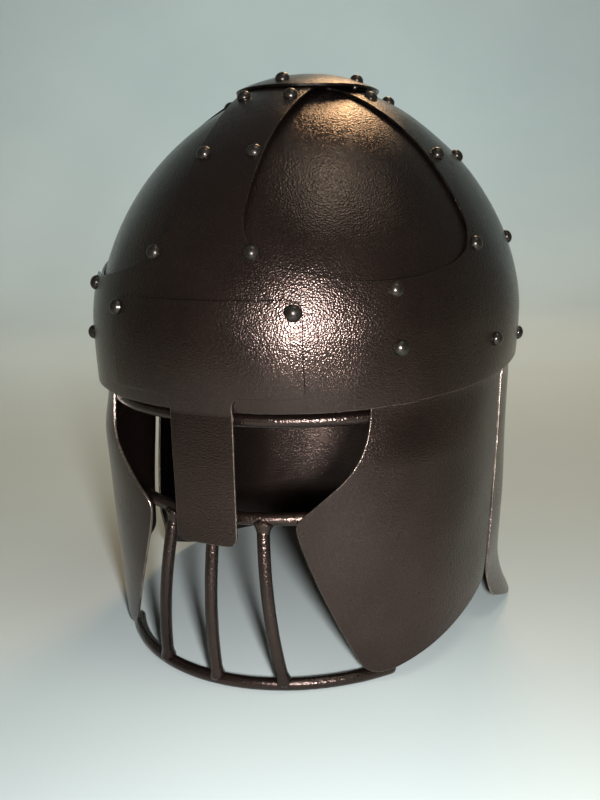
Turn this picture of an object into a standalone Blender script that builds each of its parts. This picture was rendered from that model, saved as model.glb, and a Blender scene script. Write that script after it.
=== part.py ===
"""Knight's frame helmet: a riveted steel skull with nasal, cheek and neck plates and a leather liner.

A brow bar and a welded grille of round bars guard the face.
Metres, +Z up. The wearer looks along -Y. Z is 0 where the grille's bottom bar and the neck plate rest.
Plates lie in layers: layer 0 is the front and rear frame, layer 1 the side frames under it,
layer 2 the infill, cheek and neck plates, layer 3 the leather. Layer -1 laps over layer 0.
"""

import math

import bmesh
import bpy
import numpy as np
from mathutils import Matrix, Vector
from mathutils.geometry import delaunay_2d_cdt

# Skull
HALF_WIDTH = 0.1128
LENGTH_RATIO = 1.132
WIDEST_Z = 0.167
SKULL_TOP_Z = 0.2875
CROWN_POWER = 1.8
RIM_FRONT_Z = 0.135
RIM_REAR_Z = 0.147
RIM_NARROWING = 0.0256
RIM_RATIO_DROP = 0.032
RIM_SQUARENESS = 0.2

# Sheets and their layers
SHEET = 0.0015
PITCH = 0.0023
LEATHER = 0.0025
GAP = 0.0003

# Skirt: the surface of the cheek and neck plates below the rim
SKIRT_DEPTH = 0.130
SKIRT_TAPER = 0.0035
SKIRT_TAPER_POWER = 2.2
SKIRT_SHORTENING = 0.009
CHEEK_SQUARENESS = 2.45
NECK_SQUARENESS = 2.1
SQUARING_DEPTH = 0.028
FLARE_Z = 0.033
FLARE = 0.0095
SKIRT_UNROLL = 0.106

# Seams and windows, as corners on the unrolled skull
SEAM_ANGLE = 50.3
SEAM_LAP = 7.0
CROWN_CORNER = (0.0200, 0.0220)
FRONT_CORNER = (0.0245, 0.1400)
SIDE_CORNER = (0.1385, 0.0430)
WINDOW_BOWS = (0.0025, 0.0320, 0.0050)
WINDOW_CUTS = (0.006, 0.022, 0.020)
INFILL_LAP = 0.0165
BAND_END = (0.013, 0.008)
BAND_SIDE_TURN = 42
BAND_SIDE_REACH = 0.048
SEAM_HEIGHT = 0.040
RIM_STEP = 4.5
DISC_RADIUS = 0.0375

# Nasal plate
NASAL_UNROLL = 0.112
NASAL_TOP_Z = 0.185
NASAL_ARM_Z = 0.143
NASAL_TIP_Z = 0.073
NASAL_HALF_SPAN = 0.049
NASAL_HALF_WIDTH = 0.016

# Bars, as centre lines; reaches are degrees of azimuth each way from the front
BAR_RADIUS = 0.003
BROW_Z = 0.1306
BROW_HALF_WIDTH = 0.1004
BROW_HALF_LENGTH = 0.1142
BROW_SQUARENESS = 2.13
BROW_REACH = 60
GRILLE_TOP_Z = 0.084
GRILLE_TOP_Y = -0.1136
GRILLE_TOP_BEND = 0.082
GRILLE_TOP_HALF = 0.046
GRILLE_BOTTOM_Z = 0.003
GRILLE_BOTTOM_HALF_WIDTH = 0.0964
GRILLE_BOTTOM_HALF_LENGTH = 0.1172
GRILLE_BOTTOM_REACH = 49
SIDE_BAR_TOP_X = 0.0234
SIDE_BAR_BOTTOM_X = 0.0322
SIDE_BAR_BOW = 0.0055
MIDDLE_BAR_BOW = 0.005
WELD_GAP = 0.0009

# Rivets
HEAD_RADIUS = 0.0034
HEAD_HEIGHT = 0.0030
SHANK_RADIUS = 0.0015
HOLE_RADIUS = 0.0020
TAIL_RADIUS = 0.0027
TAIL_HEIGHT = 0.0012
TAIL_GAP = 0.0008
RIVET_SIDES = 8

# Leather liner
LINER_BOTTOM_Z = 0.149
LINER_BAND_TOP_Z = 0.169
LINER_RISE = 0.070
TONGUES = 8
TONGUE_TIP = 0.030
TONGUE_TIP_WIDTH = 0.017
NOTCH_WIDTH = 0.010
NOTCH_HEIGHT = 0.004
LACE_RADIUS = 0.00125
LACE_INSET = 0.010
LACE_HOLE = 0.0042
LACE_WAVE = 0.008
LACE_POINTS = 40

# Mesh fineness
GRID = 0.0145
TALL_GRID = 0.029
LINER_GRID = 0.024
LINER_STEPS = 54
DISC_STEPS = 30
EDGE_STEP = 0.011
CROWN_ZONE = 0.055
MIN_STEP = 0.0005


def clear_scene():
    for item in list(bpy.data.objects):
        bpy.data.objects.remove(item)


def make_material(name, colour, metallic, roughness):
    material = bpy.data.materials.new(name)
    material.use_nodes = True
    shader = material.node_tree.nodes["Principled BSDF"]
    shader.inputs["Base Color"].default_value = (*colour, 1.0)
    shader.inputs["Metallic"].default_value = metallic
    shader.inputs["Roughness"].default_value = roughness
    material.diffuse_color = (*colour, 1.0)
    return material


def add_object(name, data, material):
    item = bpy.data.objects.new(name, data)
    bpy.context.scene.collection.objects.link(item)
    data.materials.clear()
    data.materials.append(material)
    return item


def plan_point(half_width, half_length, squareness, angle):
    """A point of a superellipse; angle 0 is the front and 90 degrees the wearer's left."""
    side, front = math.sin(angle), math.cos(angle)
    power = abs(side) ** squareness + abs(front) ** squareness
    reach = power ** (-1 / squareness)
    return half_width * reach * side, -half_length * reach * front


def skull_section(z):
    """Half-width, half-length and squareness of the skull's outer face at height z."""
    if z >= WIDEST_Z:
        height = min((z - WIDEST_Z) / (SKULL_TOP_Z - WIDEST_Z), 1.0)
        half_width = HALF_WIDTH * (1 - height**CROWN_POWER) ** (1 / CROWN_POWER)
        return half_width, half_width * LENGTH_RATIO, 2.0
    depth = ((WIDEST_Z - z) / (WIDEST_Z - RIM_FRONT_Z)) ** 2
    half_width = HALF_WIDTH * (1 - RIM_NARROWING * depth)
    half_length = half_width * (LENGTH_RATIO - RIM_RATIO_DROP * depth)
    return half_width, half_length, 2.0 + RIM_SQUARENESS * depth


def skull_meridian():
    """Arc length from the crown, half-width and height along the skull's side profile."""
    turns = np.linspace(math.pi / 2, 0, 400)
    widths = list(HALF_WIDTH * np.abs(np.cos(turns)) ** (2 / CROWN_POWER))
    heights = list(WIDEST_Z + (SKULL_TOP_Z - WIDEST_Z) * np.sin(turns) ** (2 / CROWN_POWER))
    for z in np.linspace(WIDEST_Z, RIM_FRONT_Z - 0.02, 100)[1:]:
        widths.append(skull_section(z)[0])
        heights.append(z)
    steps = np.hypot(np.diff(widths), np.diff(heights))
    return np.concatenate([[0], np.cumsum(steps)]), np.array(widths), np.array(heights)


MERIDIAN = skull_meridian()


def reach_at(z):
    """Arc length from the crown down to height z."""
    return float(np.interp(-z, -MERIDIAN[2], MERIDIAN[0]))


def rim_z(angle):
    return RIM_FRONT_Z + (RIM_REAR_Z - RIM_FRONT_Z) * (1 - math.cos(angle)) / 2


def skull_point(angle, reach):
    """A point of the skull's outer face, by azimuth and arc length from the crown."""
    half_width = float(np.interp(reach, MERIDIAN[0], MERIDIAN[1]))
    z = float(np.interp(reach, MERIDIAN[0], MERIDIAN[2]))
    depth = max(0.0, (WIDEST_Z - z) / (WIDEST_Z - RIM_FRONT_Z)) ** 2
    half_length = half_width * (LENGTH_RATIO - RIM_RATIO_DROP * depth)
    return Vector((*plan_point(half_width, half_length, 2.0 + RIM_SQUARENESS * depth, angle), z))


def skirt_section(z, angle):
    """Half-width, half-length and squareness of the outer face of the cheek and neck plates."""
    half_width, half_length, squareness = skull_section(max(z, RIM_FRONT_Z))
    below = max(0.0, (RIM_FRONT_Z - z) / SKIRT_DEPTH)
    taper = SKIRT_TAPER * below**SKIRT_TAPER_POWER
    half_width -= 2 * PITCH + taper
    half_length -= 2 * PITCH + SKIRT_SHORTENING * below
    blend = min(1.0, max(0.0, (RIM_FRONT_Z - z) / SQUARING_DEPTH))
    blend = blend * blend * (3 - 2 * blend)
    target = CHEEK_SQUARENESS if math.cos(angle) > 0 else NECK_SQUARENESS
    return half_width, half_length, squareness + (target - squareness) * blend


def skirt_point(angle, z, flare=0.0):
    half_width, half_length, squareness = skirt_section(z, angle)
    spread = flare * max(0.0, (FLARE_Z - z) / FLARE_Z) ** 2
    return Vector((*plan_point(half_width + spread, half_length + spread, squareness, angle), z))


def nasal_point(angle, z):
    """The nasal plate hugs the skull and drops straight down from the rim."""
    half_width, half_length, squareness = skull_section(max(z, RIM_FRONT_Z))
    return Vector((*plan_point(half_width, half_length, squareness, angle), z))


def liner_point(angle, reach):
    """The leather hangs from the rim band and curves in to the lace under the crown."""
    outer = skull_section(LINER_BAND_TOP_Z)[0] - 3 * PITCH
    dome = outer * math.pi / 2
    if reach >= dome:
        z = LINER_BAND_TOP_Z - (reach - dome)
        half_width, half_length, squareness = skull_section(z)
        half_width -= 3 * PITCH
        half_length -= 3 * PITCH
        return Vector((*plan_point(half_width, half_length, squareness, angle), z))
    turn = reach / outer
    half_length = skull_section(LINER_BAND_TOP_Z)[1] - 3 * PITCH
    x, y = plan_point(outer * math.sin(turn), half_length * math.sin(turn), 2.0, angle)
    return Vector((x, y, LINER_BAND_TOP_Z + LINER_RISE * math.cos(turn)))


def outward(surface, u, v, level=False):
    """The unit normal of a surface at (u, v), away from the helmet's middle."""
    step = 1e-4
    along = surface(u + step, v) - surface(u - step, v)
    up = surface(u, v + step) - surface(u, v - step)
    if level:
        up = Vector((0, 0, 1))
    normal = along.cross(up).normalized()
    middle = Vector((0, 0, 0.11))
    return normal if normal.dot(surface(u, v) - middle) > 0 else -normal


class Map:
    """A surface with a flat pattern: polar maps unroll from the crown, strip maps wrap a wall."""

    def __init__(self, surface, unroll=None, level=False):
        self.surface = surface
        self.unroll = unroll
        self.level = level

    def flatten(self, angle, v):
        if self.unroll:
            return Vector((angle * self.unroll, v))
        return Vector((v * math.sin(angle), v * math.cos(angle)))

    def roll(self, flat):
        if self.unroll:
            return flat[0] / self.unroll, flat[1]
        return math.atan2(flat[0], flat[1]), math.hypot(flat[0], flat[1])

    def point(self, flat, depth):
        angle, v = self.roll(flat)
        if not self.unroll:
            v = max(v, 1e-3)
        return self.surface(angle, v) - depth * outward(self.surface, angle, v, self.level)

    def hole(self, centre, radius, sides=8):
        """A hole that is round on the surface, as points of the flat pattern."""
        angle, v = self.roll(centre)
        step = 1e-4
        across = (self.surface(angle + step, v) - self.surface(angle - step, v)).length / (2 * step)
        along = (self.surface(angle, v + step) - self.surface(angle, v - step)).length / (2 * step)
        points = []
        for i in range(sides):
            turn = 2 * math.pi * i / sides
            beside = angle + radius * math.cos(turn) / across
            points.append(self.flatten(beside, v + radius * math.sin(turn) / along))
        return points


SKULL = Map(skull_point)
CHEEK = Map(skirt_point, SKIRT_UNROLL, level=True)
NECK = Map(lambda angle, z: skirt_point(angle, z, FLARE), SKIRT_UNROLL, level=True)
NASAL = Map(nasal_point, NASAL_UNROLL)
LINER = Map(liner_point)


def outline(corners, bows, cuts, step=EDGE_STEP):
    """A closed outline: sides bowed by a sagitta, corners cut back and rounded."""
    count = len(corners)
    sides = []
    for i in range(count):
        start, end = Vector(corners[i]), Vector(corners[(i + 1) % count])
        length = (end - start).length
        first, last = cuts[i] / length, 1 - cuts[(i + 1) % count] / length
        out = Vector((end.y - start.y, start.x - end.x)).normalized()
        pieces = max(1, round((last - first) * length / step))
        side = []
        for k in range(pieces + 1):
            t = first + (last - first) * k / pieces
            side.append(start.lerp(end, t) + 4 * bows[i] * t * (1 - t) * out)
        sides.append(side)
    points = []
    for i in range(count):
        points += sides[i]
        corner, cut = Vector(corners[(i + 1) % count]), cuts[(i + 1) % count]
        start, end = sides[i][-1], sides[(i + 1) % count][0]
        pieces = max(1, round(1.6 * cut / step) + 1) if cut > 0 else 0
        for k in range(1, pieces):
            t = k / pieces
            points.append((1 - t) ** 2 * start + 2 * t * (1 - t) * corner + t * t * end)
    return [point for i, point in enumerate(points) if (point - points[i - 1]).length > MIN_STEP]


def grown(points, distance):
    """A clockwise outline moved outwards."""
    moved = []
    for i, point in enumerate(points):
        along = (points[(i + 1) % len(points)] - points[i - 1]).normalized()
        moved.append(point + distance * Vector((-along.y, along.x)))
    return moved


def inside(point, polygon):
    """Whether a point lies in a polygon, by counting crossings."""
    found = False
    for i, a in enumerate(polygon):
        b = polygon[i - 1]
        if (a[1] > point[1]) != (b[1] > point[1]):
            if point[0] < a[0] + (point[1] - a[1]) * (b[0] - a[0]) / (b[1] - a[1]):
                found = not found
    return found


def distance_to(point, polygon):
    best = 1.0
    for i, a in enumerate(polygon):
        side = a - polygon[i - 1]
        t = min(1.0, max(0.0, (point - polygon[i - 1]).dot(side) / side.length_squared))
        best = min(best, (point - polygon[i - 1] - t * side).length)
    return best


def divided(points, step):
    """An outline with its long sides divided."""
    result = []
    for i, end in enumerate(points):
        start = Vector(points[i - 1])
        pieces = max(1, round((end - start).length / step))
        result += [start.lerp(end, k / pieces) for k in range(1, pieces + 1)]
    return result


def near_crown(spot):
    return spot.length < CROWN_ZONE


def above_rim(spot):
    return spot.y > RIM_FRONT_Z


def pattern_mesh(border, holes, grid, fine_zone):
    """Triangles of a flat pattern: the border less its holes, with a grid inside, denser in a zone."""
    grid_x, grid_y = grid
    border = divided(border, grid_x)
    loops = [border, *holes]
    points, edges = [], []
    for loop in loops:
        first = len(points)
        points += loop
        edges += [(first + i, first + (i + 1) % len(loop)) for i in range(len(loop))]
    low_x, high_x = min(p[0] for p in border), max(p[0] for p in border)
    low_y, high_y = min(p[1] for p in border), max(p[1] for p in border)
    for row in range(int(2 * (high_y - low_y) / grid_y) + 1):
        between = row % 2 == 1
        shift = 0.25 + 0.5 * (row // 2 % 2) - 0.25 * between
        for column in range(int((high_x - low_x) / grid_x) + 2):
            spot = Vector((low_x + (column + shift - 0.5) * grid_x, low_y + (row + 1) * grid_y / 2))
            if between and not fine_zone(spot):
                continue
            if not inside(spot, border) or any(inside(spot, hole) for hole in holes):
                continue
            clear = 0.3 if fine_zone(spot) else 0.45
            if min(distance_to(spot, loop) for loop in loops) > clear * grid_x:
                points.append(spot)
    spots, _, faces, *_ = delaunay_2d_cdt(points, edges, [], 1, 1e-7)
    kept = []
    for face in faces:
        middle = sum((spots[i] for i in face), Vector((0, 0))) / 3
        if inside(middle, border) and not any(inside(middle, hole) for hole in holes):
            kept.append(tuple(face))
    return spots, kept


def plate_mesh(name, flat_map, border, holes, depth, thickness=SHEET, grid=(GRID, GRID), zone=near_crown):
    """A sheet of even thickness cut to a flat pattern and formed over a surface."""
    spots, faces = pattern_mesh(border, holes, grid, zone)
    used = sorted({i for face in faces for i in face})
    mesh = bmesh.new()
    outer = {i: mesh.verts.new(flat_map.point(spots[i], depth)) for i in used}
    inner = {i: mesh.verts.new(flat_map.point(spots[i], depth + thickness)) for i in used}
    rims = {}
    for a, b, c in faces:
        mesh.faces.new((outer[a], outer[b], outer[c]))
        mesh.faces.new((inner[c], inner[b], inner[a]))
        for pair in ((a, b), (b, c), (c, a)):
            if pair[::-1] in rims:
                del rims[pair[::-1]]
            else:
                rims[pair] = True
    for a, b in rims:
        mesh.faces.new((outer[b], outer[a], inner[a], inner[b]))
    bmesh.ops.recalc_face_normals(mesh, faces=mesh.faces)
    data = bpy.data.meshes.new(name)
    mesh.to_mesh(data)
    mesh.free()
    data.shade_smooth()
    data.set_sharp_from_angle(angle=math.radians(40))
    return data


def lathe_mesh(name, profile, sides):
    """A solid turned about Z from (radius, height) pairs, first and last on the axis."""
    mesh = bmesh.new()
    rings = []
    for radius, height in profile:
        if radius == 0:
            rings.append([mesh.verts.new((0, 0, height))])
            continue
        ring = []
        for i in range(sides):
            turn = 2 * math.pi * i / sides
            ring.append(mesh.verts.new((radius * math.cos(turn), radius * math.sin(turn), height)))
        rings.append(ring)
    for above, below in zip(rings, rings[1:]):
        for i in range(sides):
            corners = [above[i % len(above)], above[(i + 1) % len(above)]]
            corners += [below[(i + 1) % len(below)], below[i % len(below)]]
            mesh.faces.new(list(dict.fromkeys(corners)))
    bmesh.ops.recalc_face_normals(mesh, faces=mesh.faces)
    data = bpy.data.meshes.new(name)
    mesh.to_mesh(data)
    mesh.free()
    data.shade_smooth()
    data.set_sharp_from_angle(angle=math.radians(50))
    return data


def rivet_mesh(name, stack):
    """A round-headed rivet; its origin is on the outer face of a stack of sheets this thick."""
    profile = [(0, GAP + HEAD_HEIGHT)]
    slope = math.radians(48)
    profile.append((HEAD_RADIUS * math.sin(slope), GAP + HEAD_HEIGHT * math.cos(slope)))
    tail_top = -stack - TAIL_GAP
    profile += [(HEAD_RADIUS, GAP), (SHANK_RADIUS, GAP), (SHANK_RADIUS, tail_top)]
    profile += [(TAIL_RADIUS, tail_top), (0, tail_top - TAIL_HEIGHT)]
    return lathe_mesh(name, profile, RIVET_SIDES)


def bar_object(name, path, material, radius=BAR_RADIUS, resolution=2, closed=False):
    """A round bar along a list of points."""
    curve = bpy.data.curves.new(name, "CURVE")
    curve.dimensions = "3D"
    curve.bevel_depth = radius
    curve.bevel_resolution = resolution
    curve.use_fill_caps = True
    spline = curve.splines.new("POLY")
    spline.points.add(len(path) - 1)
    for spot, point in zip(spline.points, path):
        spot.co = (*point, 1.0)
    spline.use_cyclic_u = closed
    spline.use_smooth = True
    return add_object(name, curve, material)


# Rivet places: azimuth in degrees and height, with the first and last layer that they join
FRONT_BAND_RIVETS = ((9.5, 0.2470), (13.5, 0.2045), (16.3, 0.2745))
SIDE_BAND_RIVETS = ((79.0, 0.2470), (74.0, 0.2045), (73.7, 0.2755))
CROWN_RIVET_Z = 0.2824
NASAL_RIVET = (23.1, 0.1795)
SEAM_UPPER_RIVET = (45.8, 0.1875)
SEAM_LOWER_RIVET = (46.4, 0.1623)
CHEEK_REAR_RIVET = (78.6, 0.1580)
NECK_FRONT_RIVET = (103.0, 0.1535)
NECK_REAR_RIVETS = ((152.0, 0.1610), (180.0, 0.1610), (208.0, 0.1610))


def four_ways(angle):
    """The azimuth mirrored to the four quarters, with the quarter's name."""
    return (
        ("front_left", angle),
        ("front_right", -angle),
        ("rear_left", 180 - angle),
        ("rear_right", angle - 180),
    )


def both_sides(angle):
    return (("left", angle), ("right", -angle))


class Rivet:
    def __init__(self, name, angle, z, first, last):
        self.name = name
        self.angle = math.radians(angle)
        self.reach = reach_at(z)
        self.first = first
        self.last = last

    def axis_point(self, depth):
        return SKULL.point(SKULL.flatten(self.angle, self.reach), depth)

    def flat_on(self, flat_map, layer):
        """The rivet's place on another map's flat pattern, where its axis meets that layer."""
        spot = self.axis_point(layer * PITCH + SHEET / 2)
        if flat_map is SKULL:
            return SKULL.flatten(self.angle, self.reach)
        if flat_map is NASAL:
            section = skull_section(max(spot.z, RIM_FRONT_Z))
            return flat_map.flatten(math.atan2(spot.x / section[0], -spot.y / section[1]), spot.z)
        if flat_map is LINER:
            section = skull_section(spot.z)
            inset = 3 * PITCH
            angle = math.atan2(spot.x / (section[0] - inset), -spot.y / (section[1] - inset))
            return flat_map.flatten(angle, band_reach() + LINER_BAND_TOP_Z - spot.z)
        section = skirt_section(spot.z, self.angle)
        angle = math.atan2(spot.x / section[0], -spot.y / section[1])
        return flat_map.flatten(angle % (2 * math.pi) if flat_map is NECK else angle, spot.z)


def list_rivets():
    rivets = []
    for i, (angle, z) in enumerate(FRONT_BAND_RIVETS, 1):
        rivets += [Rivet(f"rivet_band_{name}_{i}", turn, z, 0, 2) for name, turn in four_ways(angle)]
    for i, (angle, z) in enumerate(SIDE_BAND_RIVETS, 4):
        rivets += [Rivet(f"rivet_band_{name}_{i}", turn, z, 1, 2) for name, turn in four_ways(angle)]
    angle, z = SEAM_UPPER_RIVET
    rivets += [Rivet(f"rivet_seam_upper_{name}", turn, z, 0, 2) for name, turn in four_ways(angle)]
    angle, z = SEAM_LOWER_RIVET
    rivets += [Rivet(f"rivet_seam_lower_{name}", turn, z, 0, 3) for name, turn in four_ways(angle)]
    angle, z = NASAL_RIVET
    rivets += [Rivet(f"rivet_nasal_{name}", turn, z, -1, 0) for name, turn in both_sides(angle)]
    angle, z = CHEEK_REAR_RIVET
    rivets += [Rivet(f"rivet_cheek_{name}", turn, z, 1, 3) for name, turn in both_sides(angle)]
    angle, z = NECK_FRONT_RIVET
    rivets += [Rivet(f"rivet_neck_{name}", turn, z, 1, 3) for name, turn in both_sides(angle)]
    return rivets


def list_crown_rivets():
    rivets = []
    for name, turn, last in (("front", 0, 0), ("left", 90, 1), ("rear", 180, 0), ("right", -90, 1)):
        rivets.append(Rivet(f"crown_{name}", turn, CROWN_RIVET_Z, -1, last))
    return rivets


def list_neck_rivets():
    return [Rivet(f"neck_rear_{i}", turn, z, 0, 3) for i, (turn, z) in enumerate(NECK_REAR_RIVETS)]


def stack_inner(last):
    """Depth of the inner face of a layer, below the skull's outer face."""
    return last * PITCH + (LEATHER if last == 3 else SHEET)


def rivet_stack(rivet):
    return stack_inner(rivet.last) - rivet.first * PITCH


def rivet_matrix(rivet):
    normal = outward(skull_point, rivet.angle, rivet.reach)
    turn = normal.to_track_quat("Z", "Y").to_matrix().to_4x4()
    return Matrix.Translation(rivet.axis_point(rivet.first * PITCH)) @ turn


def add_rivets(rivets, material):
    meshes = {}
    for rivet in rivets:
        stack = rivet_stack(rivet)
        key = round(stack, 5)
        if key not in meshes:
            meshes[key] = rivet_mesh(f"rivet_{len(meshes)}", stack)
        item = add_object(rivet.name, meshes[key], material)
        item.matrix_world = rivet_matrix(rivet)


def merge_rivets(plate, rivets):
    """Make rivets one body with the plate, which has no holes for them."""
    for rivet in rivets:
        head = bpy.data.objects.new(rivet.name, rivet_mesh(rivet.name, rivet_stack(rivet)))
        bpy.context.scene.collection.objects.link(head)
        head.matrix_world = rivet_matrix(rivet)
        head.hide_render = True
        head.display_type = "WIRE"
        union = plate.modifiers.new(rivet.name, "BOOLEAN")
        union.operation = "UNION"
        union.object = head


def holes_on(flat_map, rivets, layer):
    """Clearance holes on one layer for the rivets that pass through it."""
    return [flat_map.hole(rivet.flat_on(flat_map, layer), HOLE_RADIUS) for rivet in rivets]


def mirrored(points, x_sign, y_sign):
    """An outline in another quarter, still clockwise."""
    moved = [Vector((x_sign * p[0], y_sign * p[1])) for p in points]
    return moved if x_sign * y_sign > 0 else moved[::-1]


def window_outline(grow=0.0):
    """The front left window of the skull, clockwise on the flat pattern."""
    corners = (CROWN_CORNER, FRONT_CORNER, SIDE_CORNER)
    bows = tuple(-bow for bow in WINDOW_BOWS)
    points = outline(corners, bows, WINDOW_CUTS)
    return grown(points, grow) if grow else points


def quarters():
    return (("front_left", 1, 1), ("front_right", -1, 1), ("rear_left", 1, -1), ("rear_right", -1, -1))


def sector(first, last, crown_end):
    """The flat pattern of a frame piece, before the windows are cut: a rim arc and a band."""
    points = []
    pieces = round((last - first) / RIM_STEP)
    for i in range(pieces + 1):
        angle = math.radians(first + (last - first) * i / pieces)
        points.append(SKULL.flatten(angle, reach_at(rim_z(angle))))
    seam_reach = reach_at(WIDEST_Z) - SEAM_HEIGHT
    middle = math.radians((first + last) / 2)
    side = math.radians(BAND_SIDE_TURN)
    end_turn, end_reach = math.atan2(*crown_end), math.hypot(*crown_end)
    points.append(SKULL.flatten(math.radians(last), seam_reach))
    points.append(SKULL.flatten(middle + side, BAND_SIDE_REACH))
    points.append(SKULL.flatten(middle + end_turn, end_reach))
    points.append(SKULL.flatten(middle - end_turn, end_reach))
    points.append(SKULL.flatten(middle - side, BAND_SIDE_REACH))
    points.append(SKULL.flatten(math.radians(first), seam_reach))
    return points


def near(angle, first, last):
    """Whether an azimuth lies between two others, in degrees."""
    return first < (math.degrees(angle) - first) % 360 + first < last


def build_frames(rivets, material):
    windows = [mirrored(window_outline(), x, y) for _, x, y in quarters()]
    wide = SEAM_ANGLE
    narrow = SEAM_ANGLE - SEAM_LAP
    pieces = (
        ("frame_front", -wide, wide, 0),
        ("frame_rear", 180 - wide, 180 + wide, 0),
        ("frame_left", narrow, 180 - narrow, 1),
        ("frame_right", 180 + narrow, 360 - narrow, 1),
    )
    through = rivets + list_crown_rivets()
    for name, first, last, layer in pieces:
        crossing = [r for r in through if near(r.angle, first, last) and r.first <= layer <= r.last]
        if name == "frame_rear":
            crossing += list_neck_rivets()
        border = sector(first, last, BAND_END)
        holes = windows + holes_on(SKULL, crossing, layer)
        add_object(name, plate_mesh(name, SKULL, border, holes, layer * PITCH), material)


def build_infill(rivets, material):
    for name, x, y in quarters():
        border = mirrored(window_outline(INFILL_LAP), x, y)
        crossing = [r for r in rivets if r.last == 2 and inside(r.flat_on(SKULL, 2), border)]
        mesh = plate_mesh(f"infill_{name}", SKULL, border, holes_on(SKULL, crossing, 2), 2 * PITCH)
        add_object(f"infill_{name}", mesh, material)


def build_crown_disc(material):
    border = [SKULL.flatten(-2 * math.pi * i / DISC_STEPS, DISC_RADIUS) for i in range(DISC_STEPS)]
    disc = add_object("crown_disc", plate_mesh("crown_disc", SKULL, border, [], -PITCH), material)
    merge_rivets(disc, list_crown_rivets())


def build_nasal(rivets, material):
    corners = (
        (-NASAL_HALF_SPAN, NASAL_ARM_Z),
        (-NASAL_HALF_SPAN, NASAL_TOP_Z),
        (NASAL_HALF_SPAN, NASAL_TOP_Z),
        (NASAL_HALF_SPAN, NASAL_ARM_Z),
        (NASAL_HALF_WIDTH, NASAL_ARM_Z),
        (NASAL_HALF_WIDTH, NASAL_TIP_Z),
        (-NASAL_HALF_WIDTH, NASAL_TIP_Z),
        (-NASAL_HALF_WIDTH, NASAL_ARM_Z),
    )
    cuts = (0.004, 0.006, 0.006, 0.004, 0.007, 0.005, 0.005, 0.007)
    border = outline(corners, (0,) * len(corners), cuts)
    crossing = [r for r in rivets if r.first == -1]
    mesh = plate_mesh("nasal_plate", NASAL, border, holes_on(NASAL, crossing, -1), -PITCH)
    add_object("nasal_plate", mesh, material)


def build_cheeks(rivets, material):
    corners = (
        (0.0750, 0.1730),
        (0.0725, 0.1140),
        (0.0384, 0.0825),
        (0.0400, 0.0740),
        (0.0700, 0.0050),
        (0.0810, 0.0050),
        (0.1510, 0.0300),
        (0.1680, 0.1470),
        (0.1680, 0.1730),
    )
    cuts = (0.006, 0.022, 0.004, 0.004, 0.007, 0.004, 0.004, 0.010, 0.006)
    bows = (0, 0, 0, 0.002, 0, 0.001, 0, 0, 0)
    shape = outline(corners, bows, cuts)
    for name, sign in (("left", 1), ("right", -1)):
        border = [Vector((sign * p[0], p[1])) for p in shape]
        wanted = (f"rivet_cheek_{name}", f"rivet_seam_lower_front_{name}")
        crossing = [r for r in rivets if r.name in wanted]
        holes = holes_on(CHEEK, crossing, 2)
        mesh = plate_mesh(f"cheek_{name}", CHEEK, border, holes, 0.0, SHEET, (GRID, TALL_GRID), above_rim)
        add_object(f"cheek_{name}", mesh, material)


def build_neck(rivets, material):
    around = 2 * math.pi * SKIRT_UNROLL
    half = ((0.1715, 0.1730), (0.1715, 0.1470), (0.1575, 0.0370), (0.1655, 0.0140), (0.2000, 0.0000))
    half_cuts = (0.006, 0.010, 0.006, 0.004, 0.010)
    corners = half + tuple((around - x, z) for x, z in half[::-1])
    cuts = half_cuts + half_cuts[::-1]
    border = outline(corners, (0,) * len(corners), cuts)
    crossing = [r for r in rivets if r.name.startswith(("rivet_neck", "rivet_seam_lower_rear"))]
    holes = holes_on(NECK, crossing, 2)
    mesh = plate_mesh("neck_plate", NECK, border, holes, 0.0, SHEET, (GRID, TALL_GRID), above_rim)
    neck = add_object("neck_plate", mesh, material)
    merge_rivets(neck, list_neck_rivets())


def arc_path(half_width, half_length, z, reach, pieces, squareness=2.0):
    """Points across the face, from -reach to +reach degrees of azimuth."""
    path = []
    for i in range(pieces + 1):
        angle = math.radians(-reach + 2 * reach * i / pieces)
        path.append(Vector((*plan_point(half_width, half_length, squareness, angle), z)))
    return path


def grille_top_y(x):
    return GRILLE_TOP_Y + GRILLE_TOP_BEND - math.sqrt(GRILLE_TOP_BEND**2 - x * x)


def upright_path(top_x, bottom_x, bow):
    """A bar between the grille's top and bottom bars, bowed forwards."""
    clear = BAR_RADIUS + WELD_GAP
    top = Vector((top_x, grille_top_y(top_x), GRILLE_TOP_Z - clear))
    depth = math.sqrt(1 - (bottom_x / GRILLE_BOTTOM_HALF_WIDTH) ** 2)
    bottom = Vector((bottom_x, -GRILLE_BOTTOM_HALF_LENGTH * depth, GRILLE_BOTTOM_Z + clear))
    path = []
    for t in np.linspace(0, 1, 7):
        path.append(top.lerp(bottom, t) - Vector((0, 4 * bow * t * (1 - t), 0)))
    return path


def build_bars(material):
    brow = arc_path(BROW_HALF_WIDTH, BROW_HALF_LENGTH, BROW_Z, BROW_REACH, 16, BROW_SQUARENESS)
    bar_object("brow_bar", brow, material)
    xs = np.linspace(-GRILLE_TOP_HALF, GRILLE_TOP_HALF, 9)
    bar_object("grille_top_bar", [Vector((x, grille_top_y(x), GRILLE_TOP_Z)) for x in xs], material)
    half_width, half_length = GRILLE_BOTTOM_HALF_WIDTH, GRILLE_BOTTOM_HALF_LENGTH
    bottom = arc_path(half_width, half_length, GRILLE_BOTTOM_Z, GRILLE_BOTTOM_REACH, 12)
    bar_object("grille_bottom_bar", bottom, material)
    for name, sign in (("left", 1), ("right", -1)):
        path = upright_path(sign * SIDE_BAR_TOP_X, sign * SIDE_BAR_BOTTOM_X, SIDE_BAR_BOW)
        bar_object(f"grille_bar_{name}", path, material)
    bar_object("grille_bar_middle", upright_path(0.0, 0.0, MIDDLE_BAR_BOW), material)


def band_reach():
    """Arc length on the liner from its top centre to its band."""
    return (skull_section(LINER_BAND_TOP_Z)[0] - 3 * PITCH) * math.pi / 2


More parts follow.
